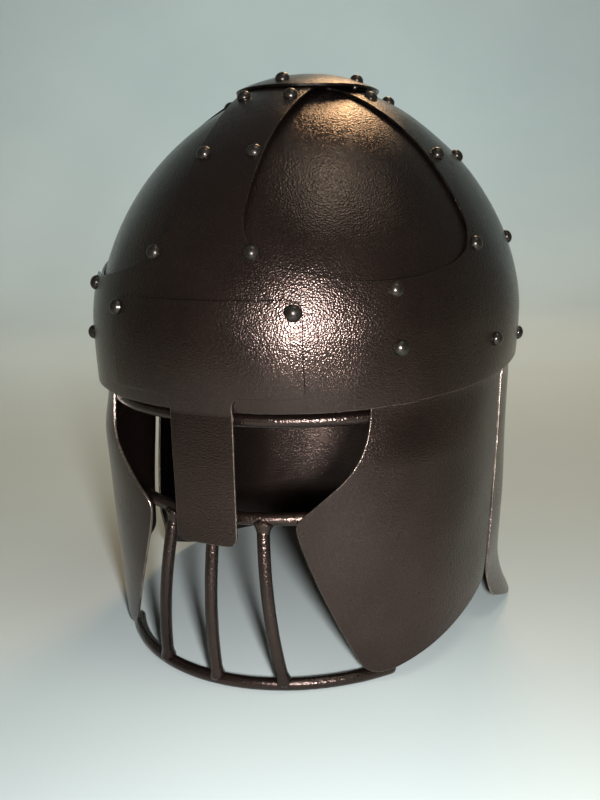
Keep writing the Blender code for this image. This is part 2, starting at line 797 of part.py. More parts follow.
def tongue_angle(index):
    return 2 * math.pi * (index + 0.5) / TONGUES


def star_hole():
    """The gaps between the liner's tongues and the space at their tips, as one outline."""
    points = []
    root = band_reach() + NOTCH_HEIGHT
    for i in range(TONGUES):
        tip, notch = tongue_angle(i), tongue_angle(i) + math.pi / TONGUES
        for angle, reach, width in ((tip, TONGUE_TIP, TONGUE_TIP_WIDTH), (notch, root, NOTCH_WIDTH)):
            radial = Vector((math.sin(angle), math.cos(angle)))
            across = Vector((math.cos(angle), -math.sin(angle)))
            points.append(reach * radial - width / 2 * across)
            points.append(reach * radial + width / 2 * across)
    return divided(points, LINER_GRID)


def build_liner(rivets, leather, lace):
    bottom = band_reach() + LINER_BAND_TOP_Z - LINER_BOTTOM_Z
    border = [LINER.flatten(-2 * math.pi * i / LINER_STEPS, bottom) for i in range(LINER_STEPS)]
    crossing = [r for r in rivets if r.last == 3] + list_neck_rivets()
    holes = [star_hole()] + holes_on(LINER, crossing, 3)
    lace_reach = TONGUE_TIP + LACE_INSET
    for i in range(TONGUES):
        holes.append(LINER.hole(LINER.flatten(tongue_angle(i), lace_reach), LACE_HOLE))
    mesh = plate_mesh("leather_liner", LINER, border, holes, 0.0, LEATHER, (LINER_GRID, LINER_GRID))
    add_object("leather_liner", mesh, leather)
    path = []
    for i in range(LACE_POINTS):
        angle = 2 * math.pi * i / LACE_POINTS
        wave = LACE_WAVE * math.cos(TONGUES / 2 * angle)
        path.append(LINER.point(LINER.flatten(angle, lace_reach), LEATHER / 2 - wave))
    bar_object("liner_lace", path, lace, LACE_RADIUS, 1, closed=True)


def build():
    clear_scene()
    steel = make_material("hammered_steel", (0.075, 0.050, 0.042), 0.75, 0.38)
    rivet_steel = make_material("rivet_steel", (0.090, 0.070, 0.060), 0.85, 0.28)
    leather = make_material("liner_leather", (0.190, 0.105, 0.055), 0.0, 0.70)
    lace = make_material("lace_leather", (0.110, 0.060, 0.035), 0.0, 0.75)
    rivets = list_rivets()
    build_frames(rivets, steel)
    build_infill(rivets, steel)
    build_crown_disc(steel)
    build_nasal(rivets, steel)
    build_cheeks(rivets, steel)
    build_neck(rivets, steel)
    build_bars(steel)
    build_liner(rivets, leather, lace)
    add_rivets(rivets, rivet_steel)


build()
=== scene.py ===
"""Looks of the knight helmet: formed sheets, rivets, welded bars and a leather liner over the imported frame.

Metres, +Z up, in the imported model's own frame. The wearer looks along -Y.
Each sheet is formed over the same surface as its CAD plate, with rounded edges and a slight unevenness.
"""

import math
import random

import bmesh
import bpy
import numpy as np
from mathutils import Matrix, Vector
from mathutils.geometry import delaunay_2d_cdt


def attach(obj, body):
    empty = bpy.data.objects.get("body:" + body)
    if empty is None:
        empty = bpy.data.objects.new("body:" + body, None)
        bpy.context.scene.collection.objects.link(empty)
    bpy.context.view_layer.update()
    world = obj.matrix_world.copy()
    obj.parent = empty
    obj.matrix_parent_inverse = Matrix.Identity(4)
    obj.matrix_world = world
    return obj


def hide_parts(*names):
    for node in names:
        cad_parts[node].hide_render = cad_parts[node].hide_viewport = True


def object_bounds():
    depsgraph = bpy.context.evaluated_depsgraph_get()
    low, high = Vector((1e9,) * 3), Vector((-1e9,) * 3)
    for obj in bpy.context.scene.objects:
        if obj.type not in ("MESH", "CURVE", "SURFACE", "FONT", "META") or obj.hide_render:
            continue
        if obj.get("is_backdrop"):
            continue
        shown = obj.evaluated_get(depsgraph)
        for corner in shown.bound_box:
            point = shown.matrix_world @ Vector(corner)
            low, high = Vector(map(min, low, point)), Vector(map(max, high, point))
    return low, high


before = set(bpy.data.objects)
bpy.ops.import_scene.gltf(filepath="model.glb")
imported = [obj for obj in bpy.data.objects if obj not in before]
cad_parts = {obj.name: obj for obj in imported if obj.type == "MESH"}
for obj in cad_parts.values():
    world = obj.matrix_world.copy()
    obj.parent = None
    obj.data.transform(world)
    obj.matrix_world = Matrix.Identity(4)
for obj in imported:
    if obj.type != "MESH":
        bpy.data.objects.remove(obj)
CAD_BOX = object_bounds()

# Skull surface
HALF_WIDTH = 0.1128
LENGTH_RATIO = 1.132
WIDEST_Z = 0.167
SKULL_TOP_Z = 0.2875
CROWN_POWER = 1.8
RIM_FRONT_Z = 0.135
RIM_REAR_Z = 0.147
RIM_NARROWING = 0.0256
RIM_RATIO_DROP = 0.032
RIM_SQUARENESS = 0.2

# Sheets. LAYER is the CAD plates' layer pitch, and STEP the tighter one of the sheets seen here.
LAYER = 0.0023
STEP = 0.0018
SHEET = 0.0015
LEATHER = 0.0025
EDGE_ROUND = 0.00045
# Rings round a sheet's edge: shares of EDGE_ROUND in from the border, and degrees that normals tilt there.
EDGE_SHARES = (0.0, 0.3, 1.0)
EDGE_TILTS = (90, 50)
DENT = 0.00022
DENT_WAVES = ((91, 40, 63, 0.3), (-52, 108, 37, 1.9), (37, -71, 119, 4.1), (143, 87, -58, 2.6))

# Skirt surface of the cheek and neck plates
SKIRT_DEPTH = 0.130
SKIRT_TAPER = 0.0035
SKIRT_TAPER_POWER = 2.2
SKIRT_SHORTENING = 0.009
CHEEK_SQUARENESS = 2.45
NECK_SQUARENESS = 2.1
SQUARING_DEPTH = 0.028
FLARE_Z = 0.033
FLARE = 0.0095
SKIRT_UNROLL = 0.106

# Seams and windows
SEAM_ANGLE = 50.3
SEAM_LAP = 7.0
CROWN_CORNER = (0.0200, 0.0220)
FRONT_CORNER = (0.0245, 0.1400)
SIDE_CORNER = (0.1385, 0.0430)
WINDOW_BOWS = (0.0025, 0.0320, 0.0050)
WINDOW_CUTS = (0.006, 0.022, 0.020)
INFILL_LAP = 0.0165
BAND_END = (0.013, 0.008)
BAND_SIDE_TURN = 42
BAND_SIDE_REACH = 0.048
SEAM_HEIGHT = 0.040
DISC_RADIUS = 0.0375

# Nasal plate
NASAL_UNROLL = 0.112
NASAL_TOP_Z = 0.185
NASAL_ARM_Z = 0.143
NASAL_TIP_Z = 0.073
NASAL_HALF_SPAN = 0.049
NASAL_HALF_WIDTH = 0.016

# Bars, as centre lines; reaches are degrees of azimuth
BAR_RADIUS = 0.003
BAR_END_ROUNDING = (0.35, 0.75)
BROW_Z = 0.1306
BROW_HALF_WIDTH = 0.1004
BROW_HALF_LENGTH = 0.1142
BROW_SQUARENESS = 2.13
BROW_REACH = 60
GRILLE_TOP_Z = 0.084
GRILLE_TOP_Y = -0.1136
GRILLE_TOP_BEND = 0.082
GRILLE_TOP_HALF = 0.046
GRILLE_BOTTOM_Z = 0.003
GRILLE_BOTTOM_HALF_WIDTH = 0.0964
GRILLE_BOTTOM_HALF_LENGTH = 0.1172
GRILLE_BOTTOM_REACH = 49
SIDE_BAR_TOP_X = 0.0234
SIDE_BAR_BOTTOM_X = 0.0322
SIDE_BAR_BOW = 0.0055
MIDDLE_BAR_BOW = 0.005

# Welds. The profile of a fillet is its spread beyond the bar and its height up the bar, as shares.
FILLET_PROFILE = (
    (-0.1, 1.0), (0.06, 0.8), (0.14, 0.6), (0.3, 0.4),
    (0.55, 0.2), (0.7, 0.0), (0.4, -0.25), (-0.4, -0.4),
)
FILLET_HEIGHT = 0.0048
FILLET_TOP_SPREAD = 0.85
FILLET_BOTTOM_SPREAD = 0.4
BEAD_RADIUS = 0.0017
BEAD_OFFSET = 0.0026
BEAD_BOTTOM_OFFSET = 0.0012

# Rivets
HEAD_RADIUS = 0.0036
HEAD_HEIGHT = 0.0030
TAIL_RADIUS = 0.0030
TAIL_HEIGHT = 0.0011
FRONT_BAND_RIVETS = ((9.5, 0.2470), (13.5, 0.2045), (16.3, 0.2745))
SIDE_BAND_RIVETS = ((79.0, 0.2470), (74.0, 0.2045), (73.7, 0.2755))
CROWN_RIVET_Z = 0.2824
NASAL_RIVET = (23.1, 0.1795)
SEAM_UPPER_RIVET = (45.8, 0.1875)
SEAM_LOWER_RIVET = (46.4, 0.1623)
CHEEK_REAR_RIVET = (78.6, 0.1580)
NECK_FRONT_RIVET = (103.0, 0.1535)
NECK_REAR_RIVETS = (152.0, 180.0, 208.0)
NECK_REAR_RIVET_Z = 0.1610
SHANK_RADIUS = 0.0015
RIVET_SINK = 0.0003
RIVET_LEAN = 0.00018

# Leather liner
LINER_BOTTOM_Z = 0.149
LINER_BAND_TOP_Z = 0.169
LINER_RISE = 0.070
TONGUES = 8
TONGUE_TIP = 0.030
TONGUE_TIP_WIDTH = 0.017
NOTCH_WIDTH = 0.010
NOTCH_HEIGHT = 0.004
LACE_RADIUS = 0.00125
LACE_INSET = 0.010
LACE_HOLE = 0.0034
LACE_WAVE = 0.008
LEATHER_EDGE_ROUND = 0.0006
STITCH_PITCH = 0.0065
STITCH_SHARE = 0.66
STITCH_RINGS = 7
STITCH_RISE = 0.0030
STITCH_LIFT = 0.0004
STITCH_SINK = 0.0002
THREAD_RADIUS = 0.00042
THREAD_END = 0.35
LINER_GIRTH = 2 * math.pi * 0.112

# Mesh fineness
GRID = 0.0032
LEATHER_GRID = 0.0045
EDGE_STEP = 0.0024
MIN_STEP = 0.0005
MERIDIAN_STEPS = (400, 100)
RIM_STEP = 1.2
DISC_STEPS = 90
LINER_STEPS = 280
LACE_STEPS = 240
BROW_PIECES = 90
GRILLE_TOP_POINTS = 50
GRILLE_BOTTOM_PIECES = 80
UPRIGHT_POINTS = 29
BEAD_PIECES = 26
RIVET_SIDES = 20
BAR_SIDES = 18
FILLET_SIDES = 22
BEAD_SIDES = 14
LACE_SIDES = 12
THREAD_SIDES = 6


def superellipse(half_width, half_length, squareness, angle):
    """Points of a superellipse; angle 0 is the front and 90 degrees the wearer's left."""
    side, front = np.sin(angle), np.cos(angle)
    reach = (np.abs(side) ** squareness + np.abs(front) ** squareness) ** (-1 / squareness)
    return half_width * reach * side, -half_length * reach * front


def skull_section(z):
    """Half-width, half-length and squareness of the skull's outer face at heights z."""
    height = np.clip((z - WIDEST_Z) / (SKULL_TOP_Z - WIDEST_Z), 0, 1)
    depth = np.clip((WIDEST_Z - z) / (WIDEST_Z - RIM_FRONT_Z), 0, None) ** 2
    half_width = HALF_WIDTH * (1 - height**CROWN_POWER) ** (1 / CROWN_POWER) * (1 - RIM_NARROWING * depth)
    return half_width, half_width * (LENGTH_RATIO - RIM_RATIO_DROP * depth), 2 + RIM_SQUARENESS * depth


def skull_meridian():
    """Arc length from the crown, and height, along the skull's side profile."""
    turns = np.linspace(math.pi / 2, 0, MERIDIAN_STEPS[0])
    upper = WIDEST_Z + (SKULL_TOP_Z - WIDEST_Z) * np.sin(turns) ** (2 / CROWN_POWER)
    widths = HALF_WIDTH * np.abs(np.cos(turns)) ** (2 / CROWN_POWER)
    lower = np.linspace(WIDEST_Z, RIM_FRONT_Z - 0.02, MERIDIAN_STEPS[1])[1:]
    widths = np.concatenate([widths, skull_section(lower)[0]])
    heights = np.concatenate([upper, lower])
    steps = np.hypot(np.diff(widths), np.diff(heights))
    return np.concatenate([[0], np.cumsum(steps)]), widths, heights


MERIDIAN = skull_meridian()


def reach_at(z):
    return float(np.interp(-z, -MERIDIAN[2], MERIDIAN[0]))


def stack(x, y, z):
    return np.stack(np.broadcast_arrays(x, y, z), axis=-1)


def skull_point(angle, reach):
    half_width = np.interp(reach, MERIDIAN[0], MERIDIAN[1])
    z = np.interp(reach, MERIDIAN[0], MERIDIAN[2])
    depth = np.clip((WIDEST_Z - z) / (WIDEST_Z - RIM_FRONT_Z), 0, None) ** 2
    half_length = half_width * (LENGTH_RATIO - RIM_RATIO_DROP * depth)
    return stack(*superellipse(half_width, half_length, 2 + RIM_SQUARENESS * depth, angle), z)


def skirt_point(angle, z, flare=0.0):
    """The cheek and neck plates' outer face."""
    half_width, half_length, squareness = skull_section(np.maximum(z, RIM_FRONT_Z))
    below = np.clip((RIM_FRONT_Z - z) / SKIRT_DEPTH, 0, None)
    spread = flare * np.clip((FLARE_Z - z) / FLARE_Z, 0, None) ** 2
    half_width = half_width - 2 * LAYER - SKIRT_TAPER * below**SKIRT_TAPER_POWER + spread
    half_length = half_length - 2 * LAYER - SKIRT_SHORTENING * below + spread
    blend = np.clip((RIM_FRONT_Z - z) / SQUARING_DEPTH, 0, 1)
    blend = blend * blend * (3 - 2 * blend)
    target = np.where(np.cos(angle) > 0, CHEEK_SQUARENESS, NECK_SQUARENESS)
    squareness = squareness + (target - squareness) * blend
    return stack(*superellipse(half_width, half_length, squareness, angle), z)


def neck_point(angle, z):
    return skirt_point(angle, z, FLARE)


def nasal_point(angle, z):
    half_width, half_length, squareness = skull_section(np.maximum(z, RIM_FRONT_Z))
    return stack(*superellipse(half_width, half_length, squareness, angle), z)


def liner_band():
    """Half-width of the leather's outer face at the top of its band, and its arc length from the top."""
    half_width = float(skull_section(LINER_BAND_TOP_Z)[0]) - 3 * LAYER
    return half_width, half_width * math.pi / 2


def liner_point(angle, reach):
    outer, dome = liner_band()
    z = LINER_BAND_TOP_Z - np.clip(reach - dome, 0, None)
    half_width, half_length, squareness = skull_section(z)
    turn = np.clip(reach / outer, 0, math.pi / 2)
    shrink = np.sin(turn)
    half_width = (half_width - 3 * LAYER) * shrink
    half_length = (half_length - 3 * LAYER) * shrink
    x, y = superellipse(half_width, half_length, squareness, angle)
    return stack(x, y, z + LINER_RISE * np.cos(turn))


def dents(points):
    """A slight unevenness left by raising the sheet, the same for every layer."""
    total = 0
    for x, y, z, phase in DENT_WAVES:
        total = total + np.sin(points[..., 0] * x + points[..., 1] * y + points[..., 2] * z + phase)
    return DENT * total / 2


class Map:
    """A surface with a flat pattern: polar maps unroll from the crown, strip maps wrap a wall."""

    def __init__(self, surface, unroll=None):
        self.surface = surface
        self.unroll = unroll

    def flatten(self, angle, v):
        if self.unroll:
            return Vector((angle * self.unroll, v))
        return Vector((v * math.sin(angle), v * math.cos(angle)))

    def bare(self, flat):
        """Points of the even surface for an array of flat points."""
        if self.unroll:
            return self.surface(flat[:, 0] / self.unroll, flat[:, 1])
        reach = np.maximum(np.hypot(flat[:, 0], flat[:, 1]), 1e-5)
        return self.surface(np.arctan2(flat[:, 0], flat[:, 1]), reach)

    def slopes(self, flat, points_of, step=4e-4):
        across = points_of(flat + [step, 0]) - points_of(flat - [step, 0])
        along = points_of(flat + [0, step]) - points_of(flat - [0, step])
        normal = np.cross(across, along)
        normal /= np.linalg.norm(normal, axis=1)[:, None]
        outward = (normal * (points_of(flat) - [0, 0, 0.11])).sum(1) > 0
        return np.where(outward[:, None], normal, -normal)

    def formed(self, flat):
        points = self.bare(flat)
        return points + dents(points)[:, None] * self.slopes(flat, self.bare)

    def points(self, flat, depth):
        """Points at a depth below the surface, and the surface's outward normals there."""
        flat = np.asarray(flat, float)
        normal = self.slopes(flat, self.formed)
        return self.formed(flat) - np.asarray(depth)[..., None] * normal, normal

    def spot(self, angle, v, depth):
        """One point at a depth, and the outward normal there."""
        points, normals = self.points([tuple(self.flatten(angle, v))], [depth])
        return Vector(points[0]), Vector(normals[0])

    def hole(self, centre, radius, sides=16):
        turns = np.arange(sides) * 2 * math.pi / sides
        spot = np.array([centre])
        step = 1e-4
        across = np.linalg.norm(self.bare(spot + [step, 0]) - self.bare(spot - [step, 0])) / (2 * step)
        along = np.linalg.norm(self.bare(spot + [0, step]) - self.bare(spot - [0, step])) / (2 * step)
        return [centre + Vector((radius * math.cos(t) / across, radius * math.sin(t) / along)) for t in turns]


SKULL = Map(skull_point)
CHEEK = Map(skirt_point, SKIRT_UNROLL)
NECK = Map(neck_point, SKIRT_UNROLL)
NASAL = Map(nasal_point, NASAL_UNROLL)
LINER = Map(liner_point)


def outline(corners, bows, cuts):
    """A closed outline: sides bowed by a sagitta, corners cut back and rounded."""
    count = len(corners)
    sides = []
    for i in range(count):
        start, end = Vector(corners[i]), Vector(corners[(i + 1) % count])
        length = (end - start).length
        first, last = cuts[i] / length, 1 - cuts[(i + 1) % count] / length
        out = Vector((end.y - start.y, start.x - end.x)).normalized()
        pieces = max(1, round((last - first) * length / EDGE_STEP))
        side = []
        for k in range(pieces + 1):
            t = first + (last - first) * k / pieces
            side.append(start.lerp(end, t) + 4 * bows[i] * t * (1 - t) * out)
        sides.append(side)
    points = []
    for i in range(count):
        points += sides[i]
        corner, cut = Vector(corners[(i + 1) % count]), cuts[(i + 1) % count]
        start, end = sides[i][-1], sides[(i + 1) % count][0]
        pieces = max(2, round(1.6 * cut / EDGE_STEP) + 1)
        for k in range(1, pieces):
            t = k / pieces
            points.append((1 - t) ** 2 * start + 2 * t * (1 - t) * corner + t * t * end)
    return points


def grown(points, distance):
    """A clockwise outline moved outwards."""
    moved = []
    for i, point in enumerate(points):
        along = (points[(i + 1) % len(points)] - points[i - 1]).normalized()
        moved.append(point + distance * Vector((-along.y, along.x)))
    return moved


def divided(points):
    """A closed outline with its sides divided into short steps."""
    result = []
    for i, end in enumerate(points):
        start = Vector(points[i - 1])
        pieces = max(1, round((Vector(end) - start).length / EDGE_STEP))
        result += [start.lerp(Vector(end), k / pieces) for k in range(1, pieces + 1)]
    return result


def inside(points, polygon):
    """Which points lie in a polygon, by counting crossings."""
    polygon = np.asarray(polygon, float)
    before = np.roll(polygon, 1, axis=0)
    x, y = points[:, :1], points[:, 1:]
    rise = before[:, 1] - polygon[:, 1]
    rise = np.where(rise == 0, 1e-12, rise)
    cross = (polygon[:, 1] > y) != (before[:, 1] > y)
    left = x < polygon[:, 0] + (y - polygon[:, 1]) * (before[:, 0] - polygon[:, 0]) / rise
    return (cross & left).sum(1) % 2 == 1


def clearance(points, loop):
    """Distance from each point to a loop's sides."""
    loop = np.asarray(loop, float)
    before = np.roll(loop, 1, axis=0)
    side = loop - before
    length = np.maximum((side**2).sum(1), 1e-16)
    best = np.full(len(points), 1.0)
    for start in range(0, len(points), 500):
        apart = points[start:start + 500, None] - before
        t = np.clip((apart * side).sum(2) / length, 0, 1)
        best[start:start + 500] = np.linalg.norm(apart - t[..., None] * side, axis=2).min(1)
    return best


def triangulate(loops, extra, keep):
    """Triangles of a pattern bounded by loops, and where each input point went."""
    points, edges = [], []
    for loop in loops:
        first = len(points)
        points += [Vector(p) for p in loop]
        edges += [(first + i, first + (i + 1) % len(loop)) for i in range(len(loop))]
    points += [Vector(p) for p in extra]
    spots, _, faces, origins, *_ = delaunay_2d_cdt(points, edges, [], 1, 1e-7)
    spots = np.array([tuple(p) for p in spots])
    faces = np.array([tuple(f) for f in faces])
    faces = faces[keep(spots[faces].mean(1))]
    place = {}
    for i, sources in enumerate(origins):
        for source in sources:
            place[source] = i
    return spots, faces, place


def edge_loops(spots, faces):
    """The borders of a set of triangles as loops of points, with the sheet on their left."""
    ends = {}
    sides = {(a, b) for face in faces.tolist() for a, b in zip(face, face[1:] + face[:1])}
    for a, b in sides:
        if (b, a) not in sides:
            ends.setdefault(a, []).append(b)
    loops = []
    while ends:
        start = min(ends)
        loop, spot = [], start
        while spot in ends:
            loop.append(spot)
            following = ends[spot].pop()
            if not ends[spot]:
                del ends[spot]
            spot = following
        points = [Vector(spots[i]) for i in loop]
        points = [p for i, p in enumerate(points) if (p - points[i - 1]).length > MIN_STEP]
        if len(points) > 4:
            loops.append(points)
    return loops


def cut_pattern(border, holes):
    """Border and holes of a pattern whose holes may run over its border."""
    def keep(middles):
        kept = inside(middles, border)
        for hole in holes:
            kept &= ~inside(middles, hole)
        return kept
    spots, faces, _ = triangulate([border, *holes], [], keep)
    return edge_loops(spots, faces)


def area_of(loop):
    return sum(a.x * b.y - b.x * a.y for a, b in zip(loop, loop[1:] + loop[:1])) / 2


def inward(loop):
    """Unit directions into the sheet at each point of a loop."""
    result = []
    for i in range(len(loop)):
        along = (loop[(i + 1) % len(loop)] - loop[i - 1]).normalized()
        result.append((-along.y, along.x))
    return np.array(result)


def grid_points(loops, keep, spacing):
    outer = np.asarray([tuple(p) for p in loops[0]])
    low, high = outer.min(0), outer.max(0)
    rows = np.arange(low[1] + spacing / 2, high[1], spacing * 0.866)
    spots = []
    for i, y in enumerate(rows):
        xs = np.arange(low[0] + spacing * (0.25 + 0.5 * (i % 2)), high[0], spacing)
        spots.append(np.stack([xs, np.full_like(xs, y)], axis=1))
    spots = np.concatenate(spots)
    spots = spots[keep(spots)]
    for loop in loops:
        spots = spots[clearance(spots, [tuple(p) for p in loop]) > 0.55 * spacing]
    return spots


def sheet_mesh(name, flat_map, border, holes, depth, thickness, spacing=GRID, edge=EDGE_ROUND):
    """A formed sheet: a core of triangles, and rings round it that round the edges off and carry 1 in the
    edge mask for worn edges and painted edge light.
    """
    loops = cut_pattern(border, holes)
    loops.sort(key=lambda loop: -abs(area_of(loop)))
    flats = []
    for loop in loops:
        rim = np.array([tuple(p) for p in loop])
        flats.append([rim + share * edge * inward(loop) for share in EDGE_SHARES])
    cores = [rings[2] for rings in flats]

    def keep(middles):
        kept = inside(middles, cores[0])
        for core in cores[1:]:
            kept &= ~inside(middles, core)
        return kept

    extra = grid_points([[Vector(p) for p in core] for core in cores], keep, spacing)
    spots, faces, place = triangulate(cores, extra, keep)
    vertices, normals, wear_and_light_values, sides = [], [], [], []

    def add(flat, level, tilt=0.0, direction=None, sign=1.0, wear_and_painted_light=0.0):
        points, normal = flat_map.points(flat, np.full(len(flat), level))
        normal = sign * normal
        if direction is not None:
            ahead = flat_map.formed(flat - 1e-4 * direction) - flat_map.formed(flat)
            ahead /= np.linalg.norm(ahead, axis=1)[:, None]
            normal = math.cos(tilt) * normal + math.sin(tilt) * ahead
        first = sum(len(v) for v in vertices)
        vertices.append(points)
        normals.append(normal)
        wear_and_light_values.append(np.full(len(flat), wear_and_painted_light))
        return first

    outer = add(spots, depth)
    inner = add(spots, depth + thickness, sign=-1.0)
    sides += [tuple(outer + i for i in face) for face in faces.tolist()]
    sides += [tuple(inner + i for i in face[::-1]) for face in faces.tolist()]
    offset = 0
    for loop, rings in zip(loops, flats):
        direction = inward(loop)
        count = len(loop)
        core = [place[offset + i] for i in range(count)]
        offset += count
        outer_ring = [outer + i for i in core]
        inner_ring = [inner + i for i in core]
        strips = [outer_ring]
        for turn, side in ((1, 1), (0, 1), (0, -1), (1, -1)):
            drop = edge * (EDGE_SHARES[1] if turn else 1)
            level = depth + drop if side > 0 else depth + thickness - drop
            first = add(rings[turn], level, math.radians(EDGE_TILTS[turn]), direction, side, 1.0)
            strips.append(list(range(first, first + count)))
        strips.append(inner_ring)
        for above, below in zip(strips, strips[1:]):
            for i in range(count):
                j = (i + 1) % count
                sides.append((above[j], above[i], below[i], below[j]))
    vertices, normals, wear_and_light_values = (np.concatenate(part) for part in (vertices, normals, wear_and_light_values))
    a, b, c = (vertices[i] for i in sides[0][:3])
    if np.cross(b - a, c - a) @ normals[sides[0][0]] < 0:
        sides = [side[::-1] for side in sides]
    used = np.zeros(len(vertices), bool)
    used[[i for face in sides for i in face]] = True
    order = np.cumsum(used) - 1
    sides = [tuple(int(order[i]) for i in face) for face in sides]
    return finished_mesh(name, vertices[used], sides, normals[used], wear_and_light_values[used])


def finished_mesh(name, vertices, faces, normals, wear_and_light_values):
    data = bpy.data.meshes.new(name)
    data.from_pydata([tuple(v) for v in vertices], [], faces)
    data.validate()
    # Edge mask, 1 on the rounded edge rings: the steel turns it into worn edges with a painted highlight low
    # down and a painted shadow line higher up, the leather into darker edges.
    layer = data.attributes.new("wear_and_painted_light", "FLOAT", "POINT")
    layer.data.foreach_set("value", np.asarray(wear_and_light_values, np.float32))
    data.shade_smooth()
    data.normals_split_custom_set_from_vertices([tuple(n) for n in normals])
    data.update()
    return data


def ring_of(mesh, centre, radius, across, other, sides):
    """A circle of new vertices, from across towards other."""
    ring = []
    for k in range(sides):
        turn = 2 * math.pi * k / sides
        ring.append(mesh.verts.new(centre + radius * (math.cos(turn) * across + math.sin(turn) * other)))
    return ring


def join_rings(mesh, rings, closed=False):
    """Faces between neighbouring rings, and over both ends of an open row of rings."""
    pairs = list(zip(rings, rings[1:]))
    if closed:
        pairs.append((rings[-1], rings[0]))
    for a, b in pairs:
        for k in range(len(a)):
            j = (k + 1) % len(a)
            mesh.faces.new((a[k], a[j], b[j], b[k]))
    if not closed:
        mesh.faces.new(rings[0][::-1])
        mesh.faces.new(rings[-1])


def smooth_data(name, mesh):
    bmesh.ops.recalc_face_normals(mesh, faces=mesh.faces)
    data = bpy.data.meshes.new(name)
    mesh.to_mesh(data)
    mesh.free()
    data.shade_smooth()
    return data


def add_object(name, data):
    item = bpy.data.objects.new(name, data)
    bpy.context.scene.collection.objects.link(item)
    return item


def add_piece(name, data, material, slot, *nodes):
    """An object that rides on the helmet's body and stands for CAD nodes."""
    piece = add_object(name, data)
    data.materials.clear()
    data.materials.append(material)
    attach(piece, "root")
    if nodes:
        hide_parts(*nodes)


# Rivets

def four_ways(angle):
    return (
        ("front_left", angle),
        ("front_right", -angle),
        ("rear_left", 180 - angle),
        ("rear_right", angle - 180),
    )


def both_sides(angle):
    return (("left", angle), ("right", -angle))


def rivet_list():
    """Node name, azimuth, height, and first and last layer of each rivet."""
    rivets = []
    for i, (angle, z) in enumerate(FRONT_BAND_RIVETS, 1):
        rivets += [(f"rivet_band_{name}_{i}", turn, z, 0, 2) for name, turn in four_ways(angle)]
    for i, (angle, z) in enumerate(SIDE_BAND_RIVETS, 4):
        rivets += [(f"rivet_band_{name}_{i}", turn, z, 1, 2) for name, turn in four_ways(angle)]
    others = (
        ("seam_upper", SEAM_UPPER_RIVET, 0, 2, four_ways),
        ("seam_lower", SEAM_LOWER_RIVET, 0, 3, four_ways),
        ("nasal", NASAL_RIVET, -1, 0, both_sides),
        ("cheek", CHEEK_REAR_RIVET, 1, 3, both_sides),
        ("neck", NECK_FRONT_RIVET, 1, 3, both_sides),
    )
    for label, (angle, z), first, last, ways in others:
        rivets += [(f"rivet_{label}_{name}", turn, z, first, last) for name, turn in ways(angle)]
    return rivets


def extra_rivet_list():
    """The rivets that the CAD holds in the crown disc and the neck plate."""
    rivets = []
    for name, turn, last in (("front", 0, 0), ("left", 90, 1), ("rear", 180, 0), ("right", -90, 1)):
        rivets.append((f"crown_rivet_{name}", turn, CROWN_RIVET_Z, -1, last))
    for i, turn in enumerate(NECK_REAR_RIVETS, 1):
        rivets.append((f"neck_rear_rivet_{i}", turn, NECK_REAR_RIVET_Z, 0, 3))
    return rivets


def rivet_mesh(name, grip, draw):
    """A hand-set rivet: a domed head, a shank and a flattened tail. Z = 0 is under the head."""
    radius = HEAD_RADIUS * draw.uniform(0.97, 1.04)
    height = HEAD_HEIGHT * draw.uniform(0.93, 1.04)
    profile = [(0.0, height)]
    for turn in (14, 28, 42, 56, 70, 82):
        angle = math.radians(turn)
        profile.append((radius * math.sin(angle), height * math.cos(angle)))
    profile += [(radius, 0.0), (radius * 0.96, -RIVET_SINK)]
    profile += [(SHANK_RADIUS, -RIVET_SINK), (SHANK_RADIUS, -grip)]
    profile += [(TAIL_RADIUS * 0.9, -grip), (TAIL_RADIUS, -grip - 0.3 * TAIL_HEIGHT)]
    profile += [(TAIL_RADIUS * 0.85, -grip - 0.8 * TAIL_HEIGHT), (0.0, -grip - TAIL_HEIGHT)]
    lean = Vector((draw.uniform(-1, 1), draw.uniform(-1, 1), 0)) * RIVET_LEAN
    mesh = bmesh.new()
    rings = []
    for size, level in profile:
        centre = Vector((0, 0, level)) + (lean if level > 0 else Vector((0, 0, 0)))
        if size == 0:
            rings.append([mesh.verts.new(centre)])
        else:
            rings.append(ring_of(mesh, centre, size, Vector((1, 0, 0)), Vector((0, 1, 0)), RIVET_SIDES))
    for above, below in zip(rings, rings[1:]):
        for i in range(RIVET_SIDES):
            corners = [above[i % len(above)], above[(i + 1) % len(above)]]
            corners += [below[(i + 1) % len(below)], below[i % len(below)]]
            mesh.faces.new(list(dict.fromkeys(corners)))
    data = smooth_data(name, mesh)
    data.set_sharp_from_angle(angle=math.radians(50))
    return data


def inner_depth(layer):
    """Depth of the inner face of a layer as the sheets lie here."""
    if layer == 3:
        return 3 * LAYER + LEATHER
    if layer == 2:
        return 2 * STEP + SHEET
    return layer * STEP + SHEET


def add_rivets(material):
    draw = random.Random(4)
    named = [(rivet, True) for rivet in rivet_list()] + [(rivet, False) for rivet in extra_rivet_list()]
    for (name, turn, z, first, last), is_node in named:
        angle = math.radians(turn)
        spot, normal = SKULL.spot(angle, reach_at(z), first * STEP)
        grip = inner_depth(last) - first * STEP
        data = rivet_mesh(name, grip, draw)
        place = Matrix.Translation(spot) @ normal.to_track_quat("Z", "Y").to_matrix().to_4x4()
        data.transform(place @ Matrix.Rotation(draw.uniform(0, 2), 4, "Z"))
        add_piece(name, data, material, "rivet_steel", *([name] if is_node else []))


# Sheets

def mirrored(points, x_sign, y_sign):
    moved = [Vector((x_sign * p[0], y_sign * p[1])) for p in points]
    return moved if x_sign * y_sign > 0 else moved[::-1]


def window_outline(grow=0.0):
    corners = (CROWN_CORNER, FRONT_CORNER, SIDE_CORNER)
    points = outline(corners, tuple(-bow for bow in WINDOW_BOWS), WINDOW_CUTS)
    return grown(points, grow) if grow else points


def quarters():
    return (("front_left", 1, 1), ("front_right", -1, 1), ("rear_left", 1, -1), ("rear_right", -1, -1))


def rim_z(angle):
    return RIM_FRONT_Z + (RIM_REAR_Z - RIM_FRONT_Z) * (1 - math.cos(angle)) / 2


